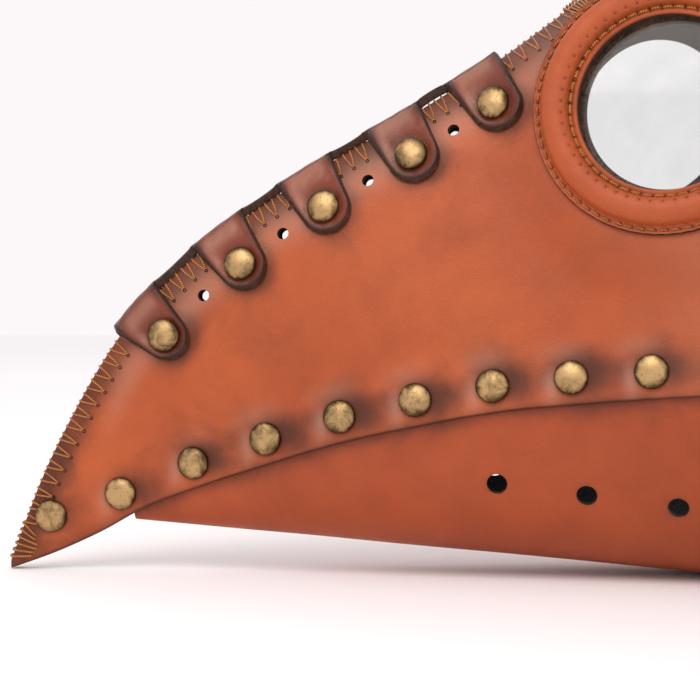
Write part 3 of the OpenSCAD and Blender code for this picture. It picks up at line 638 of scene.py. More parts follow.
def panel_relief(f, h):
    """How far the leather stands off its CAD surface: pressed in under the rivets, soft between them."""
    relief = -dip(f, h, LOWER_RIVETS + TIP_RIVETS + FOREHEAD_RIVETS, 4.0, 3.2, 0.45)
    relief = relief - dip(f, h, RIDGE_RIVETS, 6.0, 4.0, 0.25)
    along = np.sin(2 * math.pi * (f - LOWER_FROM) / LOWER_PITCH - math.pi / 2)
    above = h - curve(BOTTOM, f)
    relief = relief + 0.22 * bell(above, 9.0) * along * smooth((f - 25) / 20)
    swell = 0.3 * np.sin(f / 23.0 + 0.6) * np.sin(h / 19.0 + f / 61.0)
    return relief + swell * smooth((h - curve(BOTTOM, f) - 14) / 20) * smooth((curve(TOP, f) - h - 14) / 20)


def panel_burnish_and_shade(f, h):
    """Darker leather: burnished along the seam and the lower and rear edges, darker at the tip and round the
    forehead rivets; painted shade round each tab's outline and off the rear upper side of each lower and tip
    rivet.
    """
    top, bottom = curve(TOP, f), curve(BOTTOM, f)
    seam = (top - h) * np.cos(ridge_angle(f))
    low = (h - bottom) * np.cos(lower_angle(f))
    burnish_and_shade = 0.8 * glow(seam - 3.5, 6.5, 1.3) * mix(1, 0.7, smooth((f - 150) / 30))
    for rf, rh in RIDGE_RIVETS:
        burnish_and_shade = np.maximum(burnish_and_shade, 0.6 * glow(np.hypot(f - rf - 1.2, h - rh) - 7.6, 3.6, 1.15))
    for rf, rh in LOWER_RIVETS + TIP_RIVETS:
        df, dh = f - rf - 3.6, h - rh - 1.6
        strong = mix(0.6, 1.0, smooth((rf - 15) / 40))
        burnish_and_shade = np.maximum(burnish_and_shade, strong * np.exp(-((df / 12.0) ** 2 + (dh / 7.5) ** 2) ** 0.85))
    burnish_and_shade = np.maximum(burnish_and_shade, 0.5 * bell(low, 4.5))
    burnish_and_shade = np.maximum(burnish_and_shade, 0.95 * bell(low, 0.9))
    burnish_and_shade = np.maximum(burnish_and_shade, 0.62 * bell(low - 8, 6.0) * smooth((f - 30) / 30))
    burnish_and_shade = np.maximum(burnish_and_shade, 0.62 * bell(np.hypot(f, h), 22.0))
    for rf, rh in FOREHEAD_RIVETS:
        burnish_and_shade = np.maximum(burnish_and_shade, 0.8 * glow(np.hypot(f - rf, h - rh) - 4, 5.5, 1.3))
    return np.maximum(burnish_and_shade, 0.7 * glow(rear_f(panel_v(f, h)) - f, 6.0))


def panel_painted_sheen(f, h):
    """Painted sheen highlight: pale in front of each lower rivet, in a band under the ridge, in a wavering
    band above the lower edge and in a wide patch below and behind the eye.
    """
    seam = (curve(TOP, f) - h) * np.cos(ridge_angle(f))
    painted_sheen = 0.4 * np.exp(-(np.abs(seam - 8.5) / 5.0) ** 2.2)
    painted_sheen = painted_sheen * smooth((f - 24) / 12) * mix(1, 0.5, smooth((f - 150) / 20))
    for rf, rh in LOWER_RIVETS + TIP_RIVETS[1:]:
        df, dh = f - rf + 5.4, h - rh + 1.8
        painted_sheen = np.maximum(painted_sheen, 0.52 * np.exp(-((df / 2.3) ** 2 + (dh / 4.6) ** 2)))
    low = h - curve(BOTTOM, f)
    wander = 0.5 + 0.5 * np.sin(2 * math.pi * (f - LOWER_FROM) / LOWER_PITCH + 2.4)
    painted_sheen = np.maximum(painted_sheen, 0.24 * wander * bell(low - 14.5, 3.5) * smooth((f - 40) / 30))
    return np.maximum(painted_sheen, 0.22 * np.exp(-((f - 214) / 26.0) ** 2 - ((h - 100) / 60.0) ** 2))


def rounded_rear(v, height):
    """Rear edge with its two corners rounded off."""
    f = rear_f(v)
    near = np.minimum(v, 1 - v) * height
    s = np.clip(1 - near / REAR_CORNER_R, 0, 1)
    return f - REAR_CORNER_R * (1 - np.sqrt(np.clip(1 - s * s, 0, 1)))


def panel_grid():
    rows, cols = ((360, 170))
    share = np.r_[RIM_STEPS / REAR_F, np.linspace(RIM_STEPS[-1] / REAR_F, 1 - 0.6 / REAR_F, rows)[1:],
                  1 - np.array([0.3, 0.12, 0.0]) / REAR_F]
    f0 = share * REAR_F
    height = curve(TOP, f0) - curve(BOTTOM, f0)
    v = rim_spaced(cols, height)
    f = share[:, None] * rounded_rear(v, height[:, None])
    top, bottom = curve(TOP, f), curve(BOTTOM, f)
    h = mix(top, bottom, v)
    side = np.minimum(v, 1 - v) * (top - bottom) * np.cos(ridge_angle(f))
    edge = np.minimum(side, (1 - share)[:, None] * REAR_F)
    return f, v, h, edge


def make_side_panels():
    f, v, h, edge = panel_grid()
    relief = panel_relief(f, h)
    half = PANEL_T / 2 - edge_drop(edge)
    points, quads, kind = slab(off_panel(f, v, half + relief), off_panel(f, v, -half + relief))
    for side, flip in SIDES:
        o = build(f"{side}_side_panel_leather", points, quads, [TAN, LINING, EDGE], kind,
                  mirror=side == "right")
        turn_out(o)
        cutters = [(EYE * flip, EYE_N * flip, EYE_D / 2 + 0.2, 30)]
        for vf, vh in PIN_VENTS:
            at = panel_v(vf, vh)
            cutters.append((panel_point(vf, at) * flip, panel_normal(vf, at) * flip, PIN_VENT_D / 2, 12))
        cut(o, cutters)
        crisp(o, 50)
        p = from_frame(coords(o))
        # darkening: burnished seam and edges, with painted shade round the tabs and beside the rivets; then
        # the painted sheen highlight
        attribute(o, "burnish_and_shade", panel_burnish_and_shade(p[:, 1], p[:, 2]))
        attribute(o, "painted_sheen", panel_painted_sheen(p[:, 1], p[:, 2]))
        piece(o, "mask", f"{side}_side_panel", finish="tan_leather")


# ---------------------------------------------------------------- underside

GUSSET_MID = PANEL_T / 2 + GAP + GUSSET_T / 2


def gusset_half(f, steps, flap_steps):
    """Middle line of the left half of each section, from the flap's top down to the keel."""
    f = np.asarray(f, float)[:, None]
    up = np.linspace(GUSSET_FLAP, 0, flap_steps + 1)[None, :-1]
    flap = off_panel(np.broadcast_to(f, (len(f), flap_steps)), panel_v(f, curve(BOTTOM, f) + up),
                     np.full((len(f), flap_steps), -GUSSET_MID))
    start = off_panel(f, np.ones_like(f), np.full(f.shape, -GUSSET_MID))[:, 0]
    keel = curve(KEEL, f[:, 0]) + GUSSET_T / 2
    sink = 1.4 * smooth((f[:, 0] - 190) / 30)
    depth = (start[:, 2] - keel + sink)[:, None]
    a = np.linspace(0, math.pi / 2, steps + 1)[None]
    x = start[:, :1] * np.cos(a) ** (2 / GUSSET_POWER)
    x[:, -1] = 0
    z = np.maximum(start[:, 2:] - depth * np.sin(a) ** (2 / GUSSET_POWER), keel[:, None])
    y = np.broadcast_to(start[:, 1:2], x.shape)
    return np.concatenate([flap, np.stack([x, y, z], -1)], 1)


def resample(lines, count):
    """Each line of points spaced out evenly, closer together by both ends."""
    step = np.linalg.norm(np.diff(lines, axis=1), axis=-1)
    run = np.concatenate([np.zeros((len(lines), 1)), np.cumsum(step, 1)], 1)
    at = rim_spaced(count, run[:, -1]) * run[:, -1:]
    out = np.empty((len(lines), at.shape[1], 3))
    for i in range(len(lines)):
        for c in range(3):
            out[i, :, c] = np.interp(at[i], run[i], lines[i, :, c])
    return out, at, run[:, -1]


def grid_normals(g):
    du = np.gradient(g, axis=0)
    dv = np.gradient(g, axis=1)
    return unit(np.cross(du, dv))


def gusset_vents():
    spots = []
    for i in range(VENT_COUNT):
        f = VENT_FROM + VENT_PITCH * i
        h = VENT_H - VENT_FALL * VENT_PITCH * i
        half = gusset_half([f], 200, 2)[0]
        k = int(np.argmax(half[2:, 2] < h)) + 1
        d = half[k + 1] - half[k - 1]
        spots.append((half[k], np.array([-d[2], 0, d[0]])))
    return spots


def make_underside():
    rows, cols = ((250, 190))
    length = GUSSET_TO - GUSSET_FROM
    f = GUSSET_FROM + rim_spaced(rows, np.array([length]))[0] * length
    half = gusset_half(f, 90, 6)
    line = np.concatenate([half, half[:, -2::-1] * MIRROR], 1)
    g, at, run = resample(line, cols)
    n = -grid_normals(g)
    n = n * np.sign(np.sum(n * (g - (0, 0, 60)) * (1, 0, 1), -1, keepdims=True))
    edge = np.minimum(np.minimum(at, run[:, None] - at), np.minimum(f - GUSSET_FROM, GUSSET_TO - f)[:, None])
    t = GUSSET_T / 2 - edge_drop(edge)
    wave = 0.25 * np.sin(g[..., 1] / 17) * np.sin(g[..., 0] / 13 + 1) * smooth((g[..., 1] - 60) / 40)
    wave = wave * smooth((curve(BOTTOM, g[..., 1]) - g[..., 2] - 6) / 10) * smooth((g[..., 2] - 4) / 10)
    points, quads, kind = slab(g + (t + wave)[..., None] * n, g + (wave - t)[..., None] * n)
    o = build("underside_leather", points, quads, [UNDER, LINING, EDGE], kind)
    turn_out(o)
    cutters = []
    for at_spot, axis in gusset_vents():
        for _, flip in SIDES:
            cutters.append((at_spot * flip, axis * flip, VENT_D / 2, 14))
    cut(o, cutters)
    crisp(o, 50)
    p = from_frame(coords(o))
    # painted shade just under the side panels' lower edge; also darker towards the rear end and round the
    # vents
    below = curve(BOTTOM, p[:, 1]) - p[:, 2]
    burnish_and_shade = 0.5 * glow(below, 5.0, 2) + 0.55 * glow(GUSSET_TO - p[:, 1], 6)
    for at_spot, _ in gusset_vents():
        r = np.linalg.norm(np.abs(p * (1, 0, 0)) + p * (0, 1, 1) - at_spot, axis=1)
        burnish_and_shade = np.maximum(burnish_and_shade, 0.5 * glow(r - VENT_D / 2, 1.2))
    attribute(o, "burnish_and_shade", burnish_and_shade)
    piece(o, "mask", "beak_underside", finish="tan_leather")


# ---------------------------------------------------------------- rivets


def cap_mesh(sets, name, mirror=False, d=CAP_D, shank=3.2):
    """Rivets in one mesh. sets holds (place, axis, outside, inside) for each."""
    r, rim = d / 2, 0.55
    bulge = np.linspace(0, 1, 9)
    dome = [(r * math.cos(t * math.pi / 2), rim + (CAP_H - rim) * math.sin(t * math.pi / 2) ** 1.15)
            for t in bulge[1:-1]]
    points, quads, rub = [], [], []
    segments = 32
    for place, axis, outside, inside in sets:
        profile = [(0.01, inside - 1.0), (r * 0.7, inside - 0.98), (r * 0.82, inside - 0.75),
                   (r * 0.84, inside - 0.3), (r * 0.8, inside), (shank / 2, inside + 0.02),
                   (shank / 2, outside - 0.05), (r * 0.93, outside), (r * 0.995, outside + 0.12),
                   (r, outside + 0.35)]
        profile += [(pr, outside + pz) for pr, pz in dome] + [(0.01, outside + CAP_H)]
        tilt = unit(np.asarray(axis, float)) + RNG.normal(0, 0.018, 3)
        p = lathe_about(profile, place, tilt, segments)
        quads.append(grid_quads(segments, len(profile), sum(map(len, points)), close_rows=True))
        base = np.array([1 - (pr / r) ** 3 if pz > outside else 0.1 for pr, pz in profile])
        rub.append(np.broadcast_to(np.clip(base * RNG.uniform(0.65, 1.15), 0, 1), p.shape[:2]).ravel())
        points.append(p.reshape(-1, 3))
    o = build(name, np.concatenate(points), np.concatenate(quads), [BRASS], mirror=mirror)
    attribute(o, "rub", np.concatenate(rub))
    turn_out(o)
    return o


def panel_place(f, h):
    v = panel_v(f, h)
    return panel_point(f, v), panel_normal(f, v)


STRAP_LIFT = PANEL_T / 2 + GAP + TAB_T / 2
BARE = PANEL_T / 2


def make_rivets():
    for side in ("left", "right"):
        right = side == "right"
        for name, spots, outside, inside in (
            ("ridge_rivets", RIDGE_RIVETS, STRAP_LIFT + TAB_T / 2 - 0.25, -PANEL_T / 2 - GAP),
            ("lower_rivets", LOWER_RIVETS, BARE - 0.35, -GUSSET_MID - GUSSET_T / 2 - GAP),
            ("forehead_rivets", FOREHEAD_RIVETS, BARE - 0.35, -FOREHEAD_IN - PANEL_T / 2 - 8 * GAP),
        ):
            sets = [(*panel_place(*s), outside, inside) for s in spots]
            o = cap_mesh(sets, f"{side}_{name}_caps", mirror=right)
            piece(o, "mask", f"{side}_{name}", finish="antique_brass")
    sets = []
    for s in TIP_RIVETS:
        place, axis = panel_place(*s)
        centre = place * (0, 1, 1)
        reach = place[0] + BARE - 0.35
        sets += [(centre, axis, reach, 0.0), (centre, axis * MIRROR, reach, 0.0)]
    o = cap_mesh(sets, "tip_rivet_caps")
    piece(o, "mask", "tip_rivets", finish="antique_brass")


# ---------------------------------------------------------------- eyes

RING_BASE = PANEL_T / 2 + GAP
RING_T = 1.5
ROLL_IN, ROLL_OUT = 27.2, 35.2
INNER_STITCH_R, OUTER_STITCH_R = 26.9, 36.2
STITCH_PITCH = 3.3
SPARE_HOLE_R = 28.7
RETAINER_SEGMENTS = 160
LIFT_TURN = math.radians(200)


def ring_top(r):
    """Height of the ring cover's outer face at a radius."""
    s = np.clip((r - ROLL_IN) / (ROLL_OUT - ROLL_IN), 0, 1)
    return RING_BASE + RING_T + (ROLL_H - RING_T + 0.6) * np.sqrt(np.clip(1 - (2 * s - 1) ** 2, 0, 1)) ** 0.8


def stitch_count(radius):
    return round(2 * math.pi * radius / STITCH_PITCH)


def stitch_dimple(r, turn, radius, phase):
    at_hole = 0.5 + 0.5 * np.cos(turn * stitch_count(radius) + phase)
    return bell(r - radius, 0.8) * (0.28 + 0.3 * at_hole**4)


def make_eyes():
    outer = np.array([(r, ring_top(r)) for r in np.linspace(EYE_D / 2 + 0.6, RING_D / 2 - 0.5, 46)])
    inner_r, outer_r, flange = EYE_D / 2, RING_D / 2, RING_BASE + RING_T
    start = [(inner_r, RING_BASE + 0.1), (inner_r - 0.02, RING_BASE + 0.8), (inner_r + 0.1, flange - 0.25),
             (inner_r + 0.3, flange - 0.05)]
    end = [(outer_r - 0.2, flange - 0.06), (outer_r - 0.03, flange - 0.3), (outer_r, RING_BASE + 0.6),
           (outer_r - 0.05, RING_BASE + 0.05), (outer_r - 0.2, RING_BASE)]
    under = [(outer_r - 4, RING_BASE), (inner_r + 4, RING_BASE)]
    profile = start + [tuple(p) for p in outer] + end + under
    top_from, top_to = 2, 4 + len(outer)
    segments = 660

    def wobble(r, turn):
        index = np.arange(r.shape[1])[None]
        on_top = (index >= top_from) & (index <= top_to)
        dimples = stitch_dimple(r, turn, INNER_STITCH_R, 0.0) + stitch_dimple(r, turn, OUTER_STITCH_R, 1.0)
        rise = (ring_top(r) - RING_BASE - RING_T) / ROLL_H
        crease = 0.12 * np.sin(9 * turn + 2.0) * np.sin(17 * turn) * rise
        lift = 1.5 * smooth((r - 33.0) / 3.5) * np.maximum(np.cos(turn - LIFT_TURN), 0) ** 1.5
        at_spare = 0.5 + 0.5 * np.cos(turn * stitch_count(SPARE_HOLE_R))
        spare_hole = 0.6 * bell(r - SPARE_HOLE_R, 0.5) * at_spare**6
        lip = 0.16 * np.cos(turn * stitch_count(OUTER_STITCH_R) + 1.0) * smooth((r - 36.4) / 1.0)
        return np.where(on_top, crease - dimples - lip - spare_hole, 0) + lift

    side_way = unit(np.cross(EYE_N, (0, 0, 1.0)))
    up = np.cross(EYE_N, side_way)
    for side, flip in SIDES:
        p = lathe_about(profile, EYE, EYE_N, segments, wobble)
        quads = ring_quads(segments, len(profile))
        at = np.tile(np.arange(len(profile)), segments)
        kind = np.where((at >= top_from - 1) & (at < top_to), 0, 1)
        o = solid(60, f"{side}_eye_ring_leather", p.reshape(-1, 3), quads, [RING, EDGE], kind,
                  mirror=side == "right")
        rel = from_frame(coords(o)) * flip - EYE
        along = rel @ EYE_N
        r = np.linalg.norm(rel - along[:, None] * EYE_N, axis=1)
        # darker along the stitch rows and the cut edges; the dark spot at each stitch hole and spare hole is
        # painted shade in the hole
        burnish_and_shade = 0.34 * bell(r - INNER_STITCH_R, 1.1) + 0.34 * bell(r - OUTER_STITCH_R, 1.0)
        turn = np.arctan2(rel @ up, rel @ side_way)
        hole_rows = ((OUTER_STITCH_R, 1.0, 0.45), (INNER_STITCH_R, 0.0, 0.45), (SPARE_HOLE_R, 0.0, 0.4))
        for radius, phase, size in hole_rows:
            at_hole = (0.5 + 0.5 * np.cos(turn * stitch_count(radius) + phase)) ** 8
            burnish_and_shade = burnish_and_shade + 0.7 * at_hole * bell(r - radius, size)
        burnish_and_shade = burnish_and_shade + 0.3 * glow(r - EYE_D / 2, 0.8) + 0.25 * glow(RING_D / 2 - r, 0.5)
        attribute(o, "burnish_and_shade", burnish_and_shade)
        piece(o, "mask", f"{side}_eye_ring_cover", finish="tan_leather")
        make_retainer(side)


def make_retainer(side):
    """Soft leather ring that holds the lens from inside, with its rounded edges."""
    top = -PANEL_T / 2 - GAP - 1.6 - GAP
    out_r, in_r, t = RING_D / 2 - 3.5, EYE_D / 2 - 1.5, 1.8
    low = top - t
    profile = [(in_r + 0.4, top), (out_r - 0.4, top), (out_r - 0.1, top - 0.2), (out_r, top - t / 2),
               (out_r - 0.1, low + 0.2), (out_r - 0.45, low), (in_r + 0.45, low), (in_r + 0.1, low + 0.2),
               (in_r, top - t / 2), (in_r + 0.1, top - 0.2)]
    p = lathe_about(profile, EYE, EYE_N, RETAINER_SEGMENTS)
    quads = ring_quads(RETAINER_SEGMENTS, len(profile))
    o = build(f"{side}_lens_retainer_ring", p.reshape(-1, 3), quads, [SUEDE], mirror=side == "right")
    turn_out(o)
    piece(o, "mask", f"{side}_lens_retainer", finish="lining_leather")

# ---------------------------------------------------------------- threads


def tubes(name, paths, radius, mirror=False, sides=7, twist=1.6):
    """Many threads in one mesh. paths is (thread, step, 3) in design millimetres; twist is lays per mm."""
    paths = np.asarray(paths, float)
    count, steps = paths.shape[:2]
    along = unit(np.gradient(paths, axis=1))
    side = np.cross(along, np.array([0.31, 0.22, 0.93]))
    parallel = np.linalg.norm(side, axis=-1, keepdims=True) < 0.2
    side = unit(np.where(parallel, np.cross(along, [1.0, 0, 0]), side))
    up = np.cross(along, side)
    turn = np.arange(sides) * 2 * math.pi / sides
    ring = np.cos(turn)[:, None] * side[..., None, :] + np.sin(turn)[:, None] * up[..., None, :]
    points = (paths[..., None, :] + radius * ring).reshape(count, -1, 3)
    one = grid_quads(steps, sides, close_cols=True)
    caps = [list(range(sides))[::-1], list(range((steps - 1) * sides, steps * sides))]
    faces = []
    for i in range(count):
        start = i * steps * sides
        faces += (one + start).tolist() + [[k + start for k in c] for c in caps]
    o = build(name, points.reshape(-1, 3), faces, [GOLD_THREAD], mirror=mirror)
    step = np.linalg.norm(np.diff(paths, axis=1), axis=-1)
    run = np.concatenate([np.zeros((count, 1)), np.cumsum(step, 1)], 1)
    value = run[..., None] * twist + turn / (2 * math.pi) + RNG.uniform(0, 1, (count, 1, 1))
    attribute(o, "twist", value.ravel())
    turn_out(o)
    return o


def stitch_arcs(radius, pitch, share, lift, dive, height, thread_r, slant=0.0):
    """Dashes of thread round the eye: each comes out of one hole and goes into the next."""
    count = round(2 * math.pi * radius / pitch)
    side = unit(np.cross(EYE_N, (0, 0, 1.0)))
    up = np.cross(EYE_N, side)
    steps = 9
    s = np.linspace(-1, 1, steps)
    centre = (np.arange(count) + 0.5) * 2 * math.pi / count + RNG.normal(0, 0.08, count) * pitch / radius / 2
    turn = centre[:, None] + s * share * math.pi / count
    r = radius + slant * s + RNG.normal(0, 0.06, (count, 1))
    z = height(r) + lift - (lift + dive + thread_r) * np.abs(s) ** 5
    ring = np.cos(turn)[..., None] * side + np.sin(turn)[..., None] * up
    return EYE + r[..., None] * ring + z[..., None] * EYE_N


def make_eye_stitches():
    def flange(r):
        return ring_top(r) - 0.3

    for side in ("left", "right"):
        rows = (("outer", stitch_arcs(OUTER_STITCH_R, STITCH_PITCH, 0.68, 0.3, 0.4, flange, 0.3, 0.12), 0.3),
                ("inner", stitch_arcs(INNER_STITCH_R, STITCH_PITCH, 0.86, 0.42, 0.5, flange, 0.42), 0.42))
        for name, paths, r in rows:
            o = tubes(f"{side}_eye_{name}_stitches", paths, r, mirror=side == "right")
            piece(o, "mask", finish="strap_leather")


# ---------------------------------------------------------------- ridge seam

SEAM_PITCH = 4.4
SEAM_DEPTH = 5.3
SEAM_SPREAD = 1.15
NEEDLE_HOLE_SIZE = 0.58
LACE_R, END_LACE_R = 0.29, 0.3


def seam_places():
    """f of each hole along the ridge, evenly spaced along its length."""
    f = np.linspace(0.2, 163, 2000)
    run = np.r_[0, np.cumsum(np.hypot(np.diff(f), np.diff(curve(TOP, f))))]
    return np.interp(np.arange(12.5, run[-1] - 1, SEAM_PITCH), run, f)


SEAM_F = seam_places()


def over_ridge(half, f, steps):
    """A thread from its left hole, over the ridge by (share of x, rise) steps, to the right hole."""
    a = float(ridge_angle(f))
    up = np.array([0, -math.sin(a), math.cos(a)])
    left = np.concatenate([half, [half[-1] * (x, 1, 1) + up * rise for x, rise in steps]])
    return np.concatenate([left, left[-2::-1] * MIRROR])


def make_lacing():
    """Two threads leave each hole and cross the ridge, to the same hole on the other side."""
    paths = []
    steps = 12
    for f0 in SEAM_F:
        hole_f, hole_h = below_ridge(f0, SEAM_DEPTH)
        for lean in (-1, 1):
            top_f = f0 + lean * SEAM_SPREAD * math.cos(float(ridge_angle(f0))) + RNG.normal(0, 0.12)
            s = np.linspace(0, 1, steps)
            f, h = mix(hole_f, top_f, s), mix(hole_h, float(curve(TOP, top_f)), s)
            f = f + 0.25 * lean * np.sin(math.pi * s)
            lift = BARE + mix(-0.9, 0.12, np.minimum(s * 7, 1)) - 0.3 * smooth((s - 0.85) / 0.15)
            half = off_panel(f, np.maximum(panel_v(f, h), 0), lift)
            paths.append(over_ridge(half, top_f, ((0.9, 0.1), (0.45, 0.2), (0, 0.2))))
    o = tubes("ridge_lacing", paths, LACE_R)
    piece(o, "mask", finish="strap_leather")


def needle_holes(name, places, size):
    """Small dark cups where thread goes into the leather: their dark colour is painted shade in each needle
    hole. places holds (point, outward direction).
    """
    profile = [(0.01, -0.9), (0.55, -0.85), (0.8, -0.2), (1.0, 0.05), (0.8, 0.16), (0.45, 0.02),
               (0.01, -0.35)]
    profile = [(r * size, z * size) for r, z in profile]
    points = [lathe_about(profile, at, axis, 10).reshape(-1, 3) for at, axis in places]
    quads = [grid_quads(10, len(profile), i * len(points[0]), close_rows=True) for i in range(len(points))]
    o = build(name, np.concatenate(points), np.concatenate(quads), [NEEDLE_HOLE_SHADE])
    turn_out(o)
    piece(o, "mask", finish="ridge_leather")


def make_seam_holes():
    f, h = below_ridge(SEAM_F, SEAM_DEPTH)
    v = panel_v(f, h)
    p, n = off_panel(f, v, np.full(f.shape, BARE)), panel_normal(f, v)
    places = [(a * flip, b * flip) for _, flip in SIDES for a, b in zip(p, n)]
    needle_holes("seam_holes", places, NEEDLE_HOLE_SIZE)


def make_thread_ends():
    """Several turns of thread over the ridge at the tip and at the upper end of the seam."""
    paths = []
    for f0, spread, count in ((2.2, 3.6, 6), (164.5, 5.5, 7)):
        for k in range(count):
            top_f = f0 + spread * (k / (count - 1) - 0.5)
            hole_f = f0 + spread * 0.55 * (k / (count - 1) - 0.5)
            s = np.linspace(0, 1, 10)
            top_f = max(top_f, 0.25)
            a = float(ridge_angle(top_f))
            depth = SEAM_DEPTH + RNG.normal(0, 0.5)
            low_f = hole_f + depth * math.sin(a)
            low_h = float(curve(TOP, max(hole_f, 0.2))) - depth * math.cos(a)
            f, h = mix(low_f, top_f, s), mix(low_h, float(curve(TOP, top_f)), s)
            lift = BARE + mix(-0.6, 0.25 + 0.12 * (k % 2), np.minimum(s * 6, 1))
            half = off_panel(f, np.maximum(panel_v(f, h), 0), lift)
            paths.append(over_ridge(half, top_f, ((0.86, 0.25), (0.45, 0.5), (0, 0.55))))
    o = tubes("lacing_ends", paths, END_LACE_R)
    piece(o, "mask", finish="strap_leather")


# ---------------------------------------------------------------- ridge strap


NECK_SHOW = [-0.5, -0.55, -0.5, 0.35]
NECK_THICK = [0.7, 0.7, 0.7, 0.0]


def tab_reach(s):
    """How far a tab's outline is from the crest's middle line, s mm along the ridge from the tab's middle."""
    s = np.abs(s)
    round_end = TAB_RIVET_D + np.sqrt(np.maximum(TAB_R**2 - s * s, 0))
    side = mix(TAB_RIVET_D, 0, (s - TAB_R) / (TAB_HALF - TAB_R))
    return CREST_ARC + np.where(s < TAB_R, round_end, side)


def strap_rows():
    """The strap's rows: f, reach along the outer and inner faces, lift, extra thickness below."""
    close = np.array([0.03, 0.12, 0.3, 0.55, 0.9, 1.3])
    inside = np.linspace(0, TAB_R - 1.8, 22)
    half = np.concatenate([inside, TAB_R - close[::-1], TAB_R + np.linspace(0.05, TAB_HALF - TAB_R, 9)])
    s = np.concatenate([-half[:0:-1], half])
    rows = []
    for i, f0 in enumerate(TAB_F):
        c = math.cos(float(ridge_angle(f0)))
        rows += [(f0 + q * c, float(tab_reach(q)), float(tab_reach(q)), 0.0, 0.0) for q in s]
        if i < len(TAB_F) - 1:
            a = f0 + (TAB_HALF + NECK_START) * c
            b = TAB_F[i + 1] - (TAB_HALF + NECK_START) * math.cos(float(ridge_angle(TAB_F[i + 1])))
            for k in np.linspace(0, 1, 26):
                arch = max(math.sin(math.pi * k), 0) ** 0.5
                lift, thick = NECK_SHOW[i] * arch, NECK_THICK[i] * arch
                rows.append((mix(a, b, k), NECK_OUT + 0.3, NECK_IN + 0.5, lift, thick))
    return np.array(rows)


def strap_surface(rows, u, d):
    """Points of the strap's left half, u mm from its middle line and d off its middle surface."""
    f, lift = rows[:, :1], rows[:, 3:4]
    a = ridge_angle(f)
    zero = np.zeros_like(a)
    up = np.stack([zero, -np.sin(a), np.cos(a)], -1)
    sf, sh = below_ridge(f, np.maximum(u - CREST_ARC, 0))
    side = off_panel(sf, np.maximum(panel_v(sf, sh), 0.001), STRAP_LIFT + d)
    crest = np.stack([zero, f, curve(TOP, f)], -1) + (CREST_LIFT + d)[..., None] * up
    turn = np.minimum(u / CREST_ARC, 1)[..., None] * math.pi / 2
    p = mix(side, crest, np.cos(turn))
    p[..., 0] = side[..., 0] * np.sin(turn[..., 0])
    return p + lift[..., None] * up


def cut_bevel(s, depth):
    """Width of the knife's bevel: wide where a tab's edge faces the tip or the floor, narrow at its back."""
    length = np.maximum(np.hypot(s, depth), 1e-6)
    facing = (-0.85 * s + 0.5 * depth) / length
    return mix(0.32, 1.0, smooth((facing + 0.1) / 0.8))


